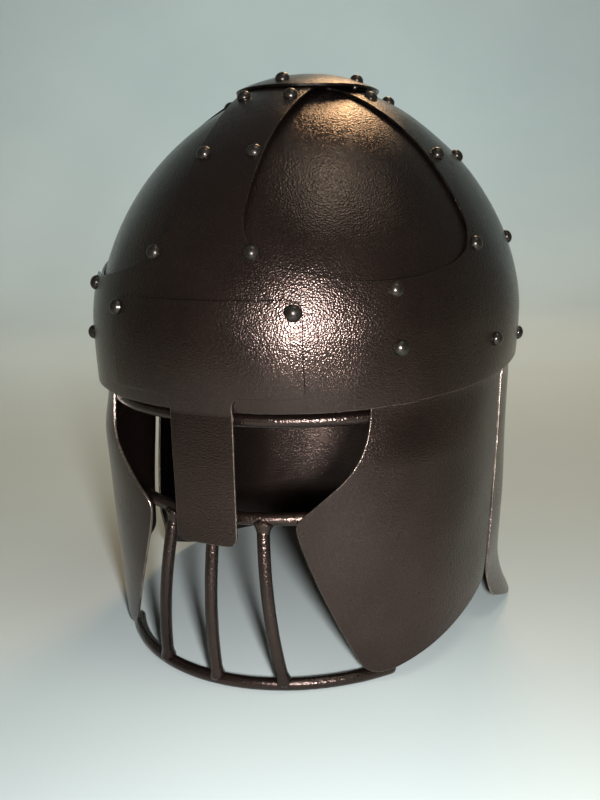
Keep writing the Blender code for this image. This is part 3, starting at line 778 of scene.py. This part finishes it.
def sector(first, last):
    """A frame piece before the windows are cut: a rim arc and a band up to the crown."""
    points = []
    pieces = round((last - first) / RIM_STEP)
    for i in range(pieces + 1):
        angle = math.radians(first + (last - first) * i / pieces)
        points.append(SKULL.flatten(angle, reach_at(rim_z(angle))))
    seam_reach = reach_at(WIDEST_Z) - SEAM_HEIGHT
    middle = math.radians((first + last) / 2)
    side = math.radians(BAND_SIDE_TURN)
    end_turn, end_reach = math.atan2(*BAND_END), math.hypot(*BAND_END)
    corners = (
        (math.radians(last), seam_reach),
        (middle + side, BAND_SIDE_REACH),
        (middle + end_turn, end_reach),
        (middle - end_turn, end_reach),
        (middle - side, BAND_SIDE_REACH),
        (math.radians(first), seam_reach),
    )
    upper = [points[-1]] + [SKULL.flatten(*corner) for corner in corners] + [points[0]]
    for start, end in zip(upper, upper[1:]):
        count = max(1, round((end - start).length / EDGE_STEP))
        points += [start.lerp(end, k / count) for k in range(1, count + 1)]
    return points[:-1]


def add_frames(material):
    windows = [mirrored(window_outline(), x, y) for _, x, y in quarters()]
    wide = SEAM_ANGLE
    narrow = SEAM_ANGLE - SEAM_LAP
    pieces = (
        ("frame_front", -wide, wide, 0),
        ("frame_rear", 180 - wide, 180 + wide, 0),
        ("frame_left", narrow, 180 - narrow, 1),
        ("frame_right", 180 + narrow, 360 - narrow, 1),
    )
    for name, first, last, layer in pieces:
        data = sheet_mesh(name, SKULL, sector(first, last), windows, layer * STEP, SHEET)
        add_piece(f"{name}_sheet", data, material, "hammered_steel", name)


def add_infill(material):
    for name, x, y in quarters():
        border = mirrored(window_outline(INFILL_LAP), x, y)
        data = sheet_mesh(f"infill_{name}", SKULL, border, [], 2 * STEP, SHEET)
        add_piece(f"infill_{name}_sheet", data, material, "hammered_steel", f"infill_{name}")


def add_crown_disc(material):
    border = [SKULL.flatten(-2 * math.pi * i / DISC_STEPS, DISC_RADIUS) for i in range(DISC_STEPS)]
    data = sheet_mesh("crown_disc", SKULL, border, [], -STEP, SHEET)
    add_piece("crown_disc_sheet", data, material, "hammered_steel", "crown_disc")


def add_nasal(material):
    corners = (
        (-NASAL_HALF_SPAN, NASAL_ARM_Z),
        (-NASAL_HALF_SPAN, NASAL_TOP_Z),
        (NASAL_HALF_SPAN, NASAL_TOP_Z),
        (NASAL_HALF_SPAN, NASAL_ARM_Z),
        (NASAL_HALF_WIDTH, NASAL_ARM_Z),
        (NASAL_HALF_WIDTH, NASAL_TIP_Z),
        (-NASAL_HALF_WIDTH, NASAL_TIP_Z),
        (-NASAL_HALF_WIDTH, NASAL_ARM_Z),
    )
    cuts = (0.004, 0.006, 0.006, 0.004, 0.007, 0.005, 0.005, 0.007)
    border = outline(corners, (0,) * len(corners), cuts)
    data = sheet_mesh("nasal_plate", NASAL, border, [], -STEP, SHEET)
    add_piece("nasal_plate_sheet", data, material, "hammered_steel", "nasal_plate")


def add_cheeks(material):
    corners = (
        (0.0750, 0.1730),
        (0.0725, 0.1140),
        (0.0384, 0.0825),
        (0.0400, 0.0740),
        (0.0700, 0.0050),
        (0.0810, 0.0050),
        (0.1510, 0.0300),
        (0.1680, 0.1470),
        (0.1680, 0.1730),
    )
    cuts = (0.006, 0.022, 0.004, 0.004, 0.007, 0.004, 0.004, 0.010, 0.006)
    bows = (0, 0, 0, 0.002, 0, 0.001, 0, 0, 0)
    shape = outline(corners, bows, cuts)
    for name, sign in both_sides(1):
        border = [Vector((sign * p[0], p[1])) for p in shape]
        data = sheet_mesh(f"cheek_{name}", CHEEK, border, [], 0.0, SHEET)
        add_piece(f"cheek_{name}_sheet", data, material, "hammered_steel", f"cheek_{name}")


def add_neck(material):
    around = 2 * math.pi * SKIRT_UNROLL
    half = ((0.1715, 0.1730), (0.1715, 0.1470), (0.1575, 0.0370), (0.1655, 0.0140), (0.2000, 0.0000))
    half_cuts = (0.006, 0.010, 0.006, 0.004, 0.010)
    corners = half + tuple((around - x, z) for x, z in half[::-1])
    border = outline(corners, (0,) * len(corners), half_cuts + half_cuts[::-1])
    data = sheet_mesh("neck_plate", NECK, border, [], 0.0, SHEET)
    add_piece("neck_plate_sheet", data, material, "hammered_steel", "neck_plate")


# Bars and welds

def arc_path(half_width, half_length, z, reach, pieces, squareness=2.0):
    turns = np.radians(np.linspace(-reach, reach, pieces + 1))
    return [Vector(p) for p in stack(*superellipse(half_width, half_length, squareness, turns), z)]


def grille_top_y(x):
    return GRILLE_TOP_Y + GRILLE_TOP_BEND - math.sqrt(GRILLE_TOP_BEND**2 - x * x)


def upright_path(top_x, bottom_x, bow):
    """From the top bar's centre line to the bottom bar's, bowed forwards."""
    top = Vector((top_x, grille_top_y(top_x), GRILLE_TOP_Z))
    depth = math.sqrt(1 - (bottom_x / GRILLE_BOTTOM_HALF_WIDTH) ** 2)
    bottom = Vector((bottom_x, -GRILLE_BOTTOM_HALF_LENGTH * depth, GRILLE_BOTTOM_Z))
    shares = np.linspace(0, 1, UPRIGHT_POINTS)
    return [top.lerp(bottom, t) - Vector((0, 4 * bow * t * (1 - t), 0)) for t in shares]


def bar_mesh(name, path, radius, sides=BAR_SIDES, closed=False):
    """A round bar along a path, with rounded ends."""
    path = [Vector(p) for p in path]
    count = len(path)
    rings = []
    across = None
    for i, point in enumerate(path):
        if closed:
            along = (path[(i + 1) % count] - path[i - 1]).normalized()
        else:
            along = (path[min(i + 1, count - 1)] - path[max(i - 1, 0)]).normalized()
        if across is None:
            across = along.orthogonal().normalized()
        across = (across - across.dot(along) * along).normalized()
        rings.append((point, along, across, radius))
    if not closed:
        for (point, along, across, _), way in ((rings[0], -1), (rings[-1], 1)):
            for share in BAR_END_ROUNDING:
                cap = (point + way * share * radius * along, along, across, radius * math.sqrt(1 - share**2))
                rings.insert(len(rings) if way > 0 else 0, cap)
    mesh = bmesh.new()
    loops = []
    for point, along, across, size in rings:
        loops.append(ring_of(mesh, point, size, across, along.cross(across), sides))
    join_rings(mesh, loops, closed)
    return smooth_data(name, mesh)


def weld_mesh(name, foot, along, draw, spread):
    """A weld fillet round the end of a bar that meets another at foot; along points up the bar."""
    rise = Vector(along).normalized()
    side = rise.orthogonal().normalized()
    other = rise.cross(side)
    lumps = [draw.uniform(0, 6.28) for _ in range(4)]
    mesh = bmesh.new()
    rings = []
    for width, height in FILLET_PROFILE:
        ring = []
        for k in range(FILLET_SIDES):
            turn = 2 * math.pi * k / FILLET_SIDES
            swell = 1 + 0.07 * math.sin(3 * turn + lumps[0] + 5 * height)
            swell += 0.05 * math.sin(5 * turn + lumps[1])
            lift = 0.0004 * math.sin(2 * turn + lumps[2]) + 0.0003 * math.sin(7 * turn + lumps[3])
            radius = BAR_RADIUS * (1 + spread * width * swell)
            spot = foot + rise * (BAR_RADIUS * 0.75 + height * FILLET_HEIGHT + lift)
            ring.append(mesh.verts.new(spot + radius * (math.cos(turn) * side + math.sin(turn) * other)))
        rings.append(ring)
    join_rings(mesh, rings)
    return smooth_data(name, mesh)


def bead_mesh(name, start, end, draw):
    """A weld bead laid from start to end in overlapping ripples."""
    path = [start.lerp(end, i / BEAD_PIECES) for i in range(BEAD_PIECES + 1)]
    data = bar_mesh(name, path, BEAD_RADIUS, BEAD_SIDES)
    length = (path[-1] - path[0]).length
    along = (path[-1] - path[0]).normalized()
    phase = draw.uniform(0, 6)
    for vertex in data.vertices:
        t = (vertex.co - path[0]).dot(along)
        centre = path[0] + along * t
        share = min(max(t / length, 0.05), 0.95)
        ends = max(0.25, min(1.0, 1.4 * math.sin(math.pi * share)))
        ripple = 1 + 0.12 * abs(math.sin(t * 1700 + phase)) + 0.08 * math.sin(t * 610 + 2 * phase)
        vertex.co = centre + (vertex.co - centre) * ends * ripple
    return data


def add_bars(material):
    brow = arc_path(BROW_HALF_WIDTH, BROW_HALF_LENGTH, BROW_Z, BROW_REACH, BROW_PIECES, BROW_SQUARENESS)
    xs = np.linspace(-GRILLE_TOP_HALF, GRILLE_TOP_HALF, GRILLE_TOP_POINTS)
    top = [Vector((x, grille_top_y(x), GRILLE_TOP_Z)) for x in xs]
    bottom_size = (GRILLE_BOTTOM_HALF_WIDTH, GRILLE_BOTTOM_HALF_LENGTH)
    bottom = arc_path(*bottom_size, GRILLE_BOTTOM_Z, GRILLE_BOTTOM_REACH, GRILLE_BOTTOM_PIECES)
    paths = {
        "brow_bar": brow,
        "grille_top_bar": top,
        "grille_bottom_bar": bottom,
        "grille_bar_left": upright_path(SIDE_BAR_TOP_X, SIDE_BAR_BOTTOM_X, SIDE_BAR_BOW),
        "grille_bar_middle": upright_path(0.0, 0.0, MIDDLE_BAR_BOW),
        "grille_bar_right": upright_path(-SIDE_BAR_TOP_X, -SIDE_BAR_BOTTOM_X, SIDE_BAR_BOW),
    }
    for name, path in paths.items():
        add_piece(f"{name}_rod", bar_mesh(name, path, BAR_RADIUS), material, "hammered_steel", name)
    draw = random.Random(11)
    for place in ("left", "middle", "right"):
        path = paths[f"grille_bar_{place}"]
        ends = (
            ("top", path[0], path[2] - path[0], FILLET_TOP_SPREAD),
            ("bottom", path[-1], path[-3] - path[-1], FILLET_BOTTOM_SPREAD),
        )
        for end, foot, along, spread in ends:
            name = f"weld_{place}_{end}"
            add_piece(name, weld_mesh(name, foot, along, draw, spread), material, "hammered_steel")
    beads = (
        ("brow", brow, 3, BEAD_OFFSET),
        ("grille_top", top, 2, BEAD_OFFSET),
        ("grille_bottom", bottom, 3, BEAD_BOTTOM_OFFSET),
    )
    for label, path, inset, offset in beads:
        for side, start, end in (("right", path[0], path[inset]), ("left", path[-1], path[-1 - inset])):
            out = Vector((start.x, start.y, 0)).normalized() * offset
            name = f"weld_{label}_{side}"
            add_piece(name, bead_mesh(name, start + out, end + out, draw), material, "hammered_steel")


# Leather liner

def tongue_angle(index):
    return 2 * math.pi * (index + 0.5) / TONGUES


def star_hole():
    """The gaps between the tongues and the space at their tips, as one outline."""
    points = []
    root = liner_band()[1] + NOTCH_HEIGHT
    for i in range(TONGUES):
        tip, notch = tongue_angle(i), tongue_angle(i) + math.pi / TONGUES
        for angle, reach, width in ((tip, TONGUE_TIP, TONGUE_TIP_WIDTH), (notch, root, NOTCH_WIDTH)):
            radial = Vector((math.sin(angle), math.cos(angle)))
            across = Vector((math.cos(angle), -math.sin(angle)))
            points.append(reach * radial - width / 2 * across)
            points.append(reach * radial + width / 2 * across)
    return divided(points)


def add_liner(leather, lace, thread):
    bottom = liner_band()[1] + LINER_BAND_TOP_Z - LINER_BOTTOM_Z
    border = [LINER.flatten(-2 * math.pi * i / LINER_STEPS, bottom) for i in range(LINER_STEPS)]
    lace_reach = TONGUE_TIP + LACE_INSET
    holes = [star_hole()]
    for i in range(TONGUES):
        holes.append(LINER.hole(LINER.flatten(tongue_angle(i), lace_reach), LACE_HOLE))
    data = sheet_mesh("leather_liner", LINER, border, holes, 0.0, LEATHER, LEATHER_GRID, LEATHER_EDGE_ROUND)
    add_piece("leather_liner_hide", data, leather, "liner_leather", "leather_liner")
    path = []
    for i in range(LACE_STEPS):
        angle = 2 * math.pi * i / LACE_STEPS
        depth = LEATHER / 2 - LACE_WAVE * math.cos(TONGUES / 2 * angle)
        path.append(LINER.spot(angle, lace_reach, depth)[0])
    data = bar_mesh("liner_lace", path, LACE_RADIUS, LACE_SIDES, closed=True)
    add_piece("liner_lace_cord", data, lace, "lace_leather", "liner_lace")
    add_piece("liner_stitching", stitch_mesh(bottom), thread, "lace_leather")


def stitch_mesh(bottom):
    """Running stitches along the lower edge of the liner's band, seen from inside."""
    mesh = bmesh.new()
    count = round(LINER_GIRTH / STITCH_PITCH)
    up = Vector((0, 0, 1))
    for i in range(count):
        rings = []
        for k in range(STITCH_RINGS):
            share = (k / (STITCH_RINGS - 1) - 0.5) * STITCH_SHARE
            angle = 2 * math.pi * (i + share) / count
            lift = STITCH_LIFT * math.cos(share * math.pi / STITCH_SHARE)
            centre, normal = LINER.spot(angle, bottom - STITCH_RISE, LEATHER - STITCH_SINK + lift)
            radius = THREAD_RADIUS * (THREAD_END if k in (0, STITCH_RINGS - 1) else 1.0)
            rings.append(ring_of(mesh, centre, radius, up, normal, THREAD_SIDES))
        join_rings(mesh, rings)
    return smooth_data("liner_stitching", mesh)


# Materials

BRONZE_TONES = ((0.30, (0.034, 0.021, 0.018)), (0.55, (0.050, 0.031, 0.025)), (0.75, (0.072, 0.044, 0.035)))
GRAIN_COLOUR = (0.020, 0.015, 0.012)
FLAKE_COLOUR = (0.20, 0.11, 0.085)
# Edge colours by height: below 0.139 m a light colour, partly worn bare metal and partly a painted highlight;
# above 0.142 m near-black, a painted shadow line along the seams.
SKIRT_EDGE_WEAR_AND_PAINTED_HIGHLIGHT = (0.139, (0.34, 0.27, 0.23))
SKULL_EDGE_PAINTED_SHADOW = (0.142, (0.006, 0.005, 0.004))
LEATHER_TONES = ((0.28, (0.105, 0.052, 0.026)), (0.55, (0.185, 0.100, 0.052)), (0.8, (0.255, 0.150, 0.082)))
CELL_SMOOTHNESS = 0.6


class Shader:
    """A Principled material with short helpers for its node tree."""

    def __init__(self, name, **values):
        self.material = bpy.data.materials.new(name)
        self.material.use_nodes = True
        self.tree = self.material.node_tree
        self.main = self.tree.nodes["Principled BSDF"]
        for key, value in values.items():
            self.main.inputs[key.replace("_", " ").title()].default_value = value
        self.place = self.node("ShaderNodeTexCoord").outputs["Object"]

    def node(self, kind, **settings):
        made = self.tree.nodes.new(kind)
        for key, value in settings.items():
            setattr(made, key, value)
        return made

    def link(self, start, end):
        self.tree.links.new(start, end)

    def noise(self, scale, detail=3.0, roughness=0.5, distortion=0.0):
        made = self.node("ShaderNodeTexNoise")
        self.link(self.place, made.inputs["Vector"])
        made.inputs["Scale"].default_value = scale
        made.inputs["Detail"].default_value = detail
        made.inputs["Roughness"].default_value = roughness
        made.inputs["Distortion"].default_value = distortion
        return made.outputs["Fac"]

    def cells(self, scale, feature="SMOOTH_F1"):
        made = self.node("ShaderNodeTexVoronoi", feature=feature)
        self.link(self.place, made.inputs["Vector"])
        made.inputs["Scale"].default_value = scale
        if feature == "SMOOTH_F1":
            made.inputs["Smoothness"].default_value = CELL_SMOOTHNESS
        return made.outputs["Distance"]

    def ramp(self, source, *stops):
        made = self.node("ShaderNodeValToRGB")
        self.link(source, made.inputs["Fac"])
        ramp = made.color_ramp
        while len(ramp.elements) < len(stops):
            ramp.elements.new(0.5)
        for element, (position, colour) in zip(ramp.elements, stops):
            element.position = position
            element.color = (*colour, 1.0) if isinstance(colour, tuple) else (colour, colour, colour, 1.0)
        return made.outputs["Color"]

    def mix(self, factor, first, second):
        made = self.node("ShaderNodeMix", data_type="RGBA")
        self.link(factor, made.inputs[0])
        for source, target in ((first, made.inputs[6]), (second, made.inputs[7])):
            if isinstance(source, tuple):
                target.default_value = (*source, 1.0)
            else:
                self.link(source, target)
        return made.outputs[2]

    def product(self, first, second):
        made = self.node("ShaderNodeMath", operation="MULTIPLY")
        self.link(first, made.inputs[0])
        self.link(second, made.inputs[1])
        return made.outputs[0]

    def bump(self, height, strength, distance, below=None):
        made = self.node("ShaderNodeBump")
        made.inputs["Strength"].default_value = strength
        made.inputs["Distance"].default_value = distance
        self.link(height, made.inputs["Height"])
        if below is not None:
            self.link(below, made.inputs["Normal"])
        return made.outputs["Normal"]

    def height(self):
        made = self.node("ShaderNodeSeparateXYZ")
        self.link(self.place, made.inputs[0])
        return made.outputs["Z"]

    def wear_and_painted_light(self):
        # The edge mask: worn edges, and on the steel also painted edge highlight and painted shadow.
        return self.node("ShaderNodeAttribute", attribute_name="wear_and_painted_light").outputs["Fac"]

    def finish(self, **sources):
        for key, source in sources.items():
            self.link(source, self.main.inputs[key.replace("_", " ").title()])
        return self.material


def hammered_steel(name, edges=True):
    """Dark bronze powder coat with an orange-peel surface and fine metal flake."""
    shader = Shader(name, metallic=0.9, coat_weight=0.24, coat_roughness=0.22)
    patch = shader.noise(16.0, 4.0, 0.55, 0.4)
    grain = shader.noise(1700.0, 2.0, 0.5)
    flake = shader.noise(3200.0, 1.0, 0.5)
    base = shader.ramp(patch, *BRONZE_TONES)
    base = shader.mix(shader.ramp(grain, (0.42, 0.0), (0.62, 0.45)), base, GRAIN_COLOUR)
    base = shader.mix(shader.ramp(flake, (0.62, 0.0), (0.72, 0.5)), base, FLAKE_COLOUR)
    roughness = shader.ramp(shader.noise(60.0, 5.0, 0.6), (0.3, 0.21), (0.7, 0.29))
    # Sheet edges, in patches: lower on the helmet a lighter colour, partly worn bare metal and partly a
    # painted highlight; higher up a near-black painted shadow line along the seams.
    if edges:
        wear_and_light_patches = shader.ramp(shader.noise(140.0, 4.0), (0.35, 0.45), (0.65, 1.0))
        edge_wear_and_light_colour = shader.ramp(shader.height(), SKIRT_EDGE_WEAR_AND_PAINTED_HIGHLIGHT, SKULL_EDGE_PAINTED_SHADOW)
        base = shader.mix(shader.product(shader.wear_and_painted_light(), wear_and_light_patches), base, edge_wear_and_light_colour)
    normal = shader.bump(shader.cells(1250.0), 0.80, 0.00021)
    normal = shader.bump(grain, 0.50, 0.00009, normal)
    normal = shader.bump(shader.noise(45.0, 1.0), 0.20, 0.0006, normal)
    return shader.finish(base_color=base, roughness=roughness, normal=normal, coat_normal=normal)


def rivet_steel():
    shader = Shader("rivet_steel", metallic=0.82)
    tone = shader.noise(220.0, 4.0, 0.6)
    base = shader.ramp(tone, (0.35, (0.030, 0.025, 0.022)), (0.65, (0.062, 0.052, 0.045)))
    roughness = shader.ramp(shader.noise(700.0, 3.0), (0.3, 0.22), (0.7, 0.34))
    normal = shader.bump(shader.noise(520.0, 3.0), 0.35, 0.00025)
    return shader.finish(base_color=base, roughness=roughness, normal=normal)


def liner_leather():
    shader = Shader("liner_leather", roughness=0.6)
    patch = shader.noise(22.0, 5.0, 0.6, 0.6)
    base = shader.ramp(patch, *LEATHER_TONES)
    pores = shader.cells(900.0, "F1")
    crease = shader.cells(210.0, "DISTANCE_TO_EDGE")
    base = shader.mix(shader.ramp(crease, (0.0, 0.6), (0.10, 0.0)), base, (0.075, 0.036, 0.018))
    base = shader.mix(shader.wear_and_painted_light(), base, (0.085, 0.045, 0.024))
    roughness = shader.ramp(patch, (0.3, 0.50), (0.7, 0.72))
    normal = shader.bump(pores, 0.30, 0.00020)
    normal = shader.bump(crease, 0.35, 0.00030, normal)
    normal = shader.bump(shader.noise(60.0, 4.0), 0.35, 0.0009, normal)
    return shader.finish(base_color=base, roughness=roughness, normal=normal)


def lace_leather():
    shader = Shader("lace_leather", roughness=0.7)
    tone = shader.noise(300.0, 4.0, 0.6)
    base = shader.ramp(tone, (0.3, (0.060, 0.030, 0.016)), (0.7, (0.150, 0.082, 0.046)))
    return shader.finish(base_color=base, normal=shader.bump(tone, 0.5, 0.0003))


def linen_thread():
    shader = Shader("linen_thread", roughness=0.8)
    twist = shader.noise(1500.0, 2.0, 0.5, 1.0)
    base = shader.ramp(twist, (0.3, (0.30, 0.24, 0.16)), (0.7, (0.52, 0.44, 0.31)))
    return shader.finish(base_color=base, normal=shader.bump(twist, 0.6, 0.0002))


def stage_paint():
    shader = Shader("stage_paint", roughness=0.85)
    base = shader.ramp(shader.noise(3.0, 3.0), (0.3, (0.49, 0.55, 0.55)), (0.7, (0.53, 0.59, 0.585)))
    return shader.finish(base_color=base)


# Camera, floor and light

CAMERA_AZIMUTH = 25.26
CAMERA_ELEVATION = 12.80
CAMERA_ROLL = -1.26
CAMERA_PLACE = (0.2055, -0.4540, 0.2276)
LENS = 40.54
KEY_PLACE = (0.237, -0.439, 0.207)
FLOOR_RADIUS = 1.3
FLOOR_RISE = 0.9
FLOOR_STEPS = 24
FLOOR_SIDES = 96
FLOOR_GAP = 0.0003
WALL_TOP_Z = 2.2


def add_camera():
    camera = bpy.data.cameras.new("camera")
    camera.lens = LENS
    camera.clip_start = 0.01
    azimuth, elevation, roll = (math.radians(a) for a in (CAMERA_AZIMUTH, CAMERA_ELEVATION, CAMERA_ROLL))
    level = math.cos(elevation)
    back = Vector((math.sin(azimuth) * level, -math.cos(azimuth) * level, math.sin(elevation)))
    right = (-back).cross(Vector((0, 0, 1))).normalized()
    up = right.cross(-back)
    side = math.cos(roll) * right + math.sin(roll) * up
    top = -math.sin(roll) * right + math.cos(roll) * up
    turn = Matrix((side, top, back)).transposed()
    item = add_object("camera", camera)
    item.matrix_world = Matrix.Translation(CAMERA_PLACE) @ turn.to_4x4()
    bpy.context.scene.camera = item


def add_floor(material):
    """A round floor whose edge curves up into a low wall, so that every view has the same pale ground."""
    mesh = bmesh.new()
    profile = [(FLOOR_RADIUS * i / 6, 0.0) for i in range(1, 7)]
    for i in range(1, FLOOR_STEPS + 1):
        turn = math.pi / 2 * i / FLOOR_STEPS
        profile.append((FLOOR_RADIUS + FLOOR_RISE * math.sin(turn), FLOOR_RISE * (1 - math.cos(turn))))
    profile.append((FLOOR_RADIUS + FLOOR_RISE, WALL_TOP_Z))
    middle = mesh.verts.new((0, 0, 0))
    x_axis, y_axis = Vector((1, 0, 0)), Vector((0, 1, 0))
    rings = [ring_of(mesh, Vector((0, 0, z)), radius, x_axis, y_axis, FLOOR_SIDES) for radius, z in profile]
    for k in range(FLOOR_SIDES):
        j = (k + 1) % FLOOR_SIDES
        mesh.faces.new((middle, rings[0][k], rings[0][j]))
        for a, b in zip(rings, rings[1:]):
            mesh.faces.new((a[k], b[k], b[j], a[j]))
    data = bpy.data.meshes.new("floor")
    mesh.to_mesh(data)
    mesh.free()
    data.shade_smooth()
    data.materials.append(material)
    floor = add_object("floor", data)
    floor.location.z = -FLOOR_GAP
    floor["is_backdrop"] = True


def add_lamp(name, place, target, size, power, colour=(1, 1, 1), spread=180):
    """A round area light that looks at a point."""
    lamp = bpy.data.lights.new(name, "AREA")
    lamp.shape = "DISK"
    lamp.size = size
    lamp.energy = power
    lamp.spread = math.radians(spread)
    lamp.color = colour
    item = add_object(name, lamp)
    item.location = place
    item.rotation_euler = (Vector(place) - Vector(target)).to_track_quat("Z", "Y").to_euler()


def add_world():
    world = bpy.data.worlds.new("studio")
    world.use_nodes = True
    ground = world.node_tree.nodes["Background"]
    ground.inputs["Color"].default_value = (0.78, 0.84, 0.82, 1.0)
    ground.inputs["Strength"].default_value = 0.14
    bpy.context.scene.world = world
    bpy.context.scene.view_settings.view_transform = "Standard"


def build():
    add_camera()
    steel = hammered_steel("hammered_steel")
    bar_steel = hammered_steel("bar_steel", edges=False)
    rivets = rivet_steel()
    add_frames(steel)
    add_infill(steel)
    add_crown_disc(steel)
    add_nasal(steel)
    add_cheeks(steel)
    add_neck(steel)
    add_bars(bar_steel)
    add_rivets(rivets)
    add_liner(liner_leather(), lace_leather(), linen_thread())
    add_floor(stage_paint())
    add_lamp("key", KEY_PLACE, (0, 0, 0.18), 0.04, 4.0)
    add_lamp("overhead", (-0.15, 1.05, 1.28), (0, 0, 0.15), 0.40, 7.5, (1.0, 0.64, 0.34))
    add_lamp("ceiling", (0.55, -0.15, 1.7), (0, 0, 0.2), 0.7, 4.2, (0.97, 1.0, 0.84))
    add_lamp("backdrop", (0.1, -0.3, 1.9), (-0.9, 1.9, 0.2), 0.7, 8.6, (0.94, 1.0, 0.985), 75)
    add_world()


build()

boxes = {"cad": CAD_BOX, "visual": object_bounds()}
{name: [list(corner) for corner in box] for name, box in boxes.items()}
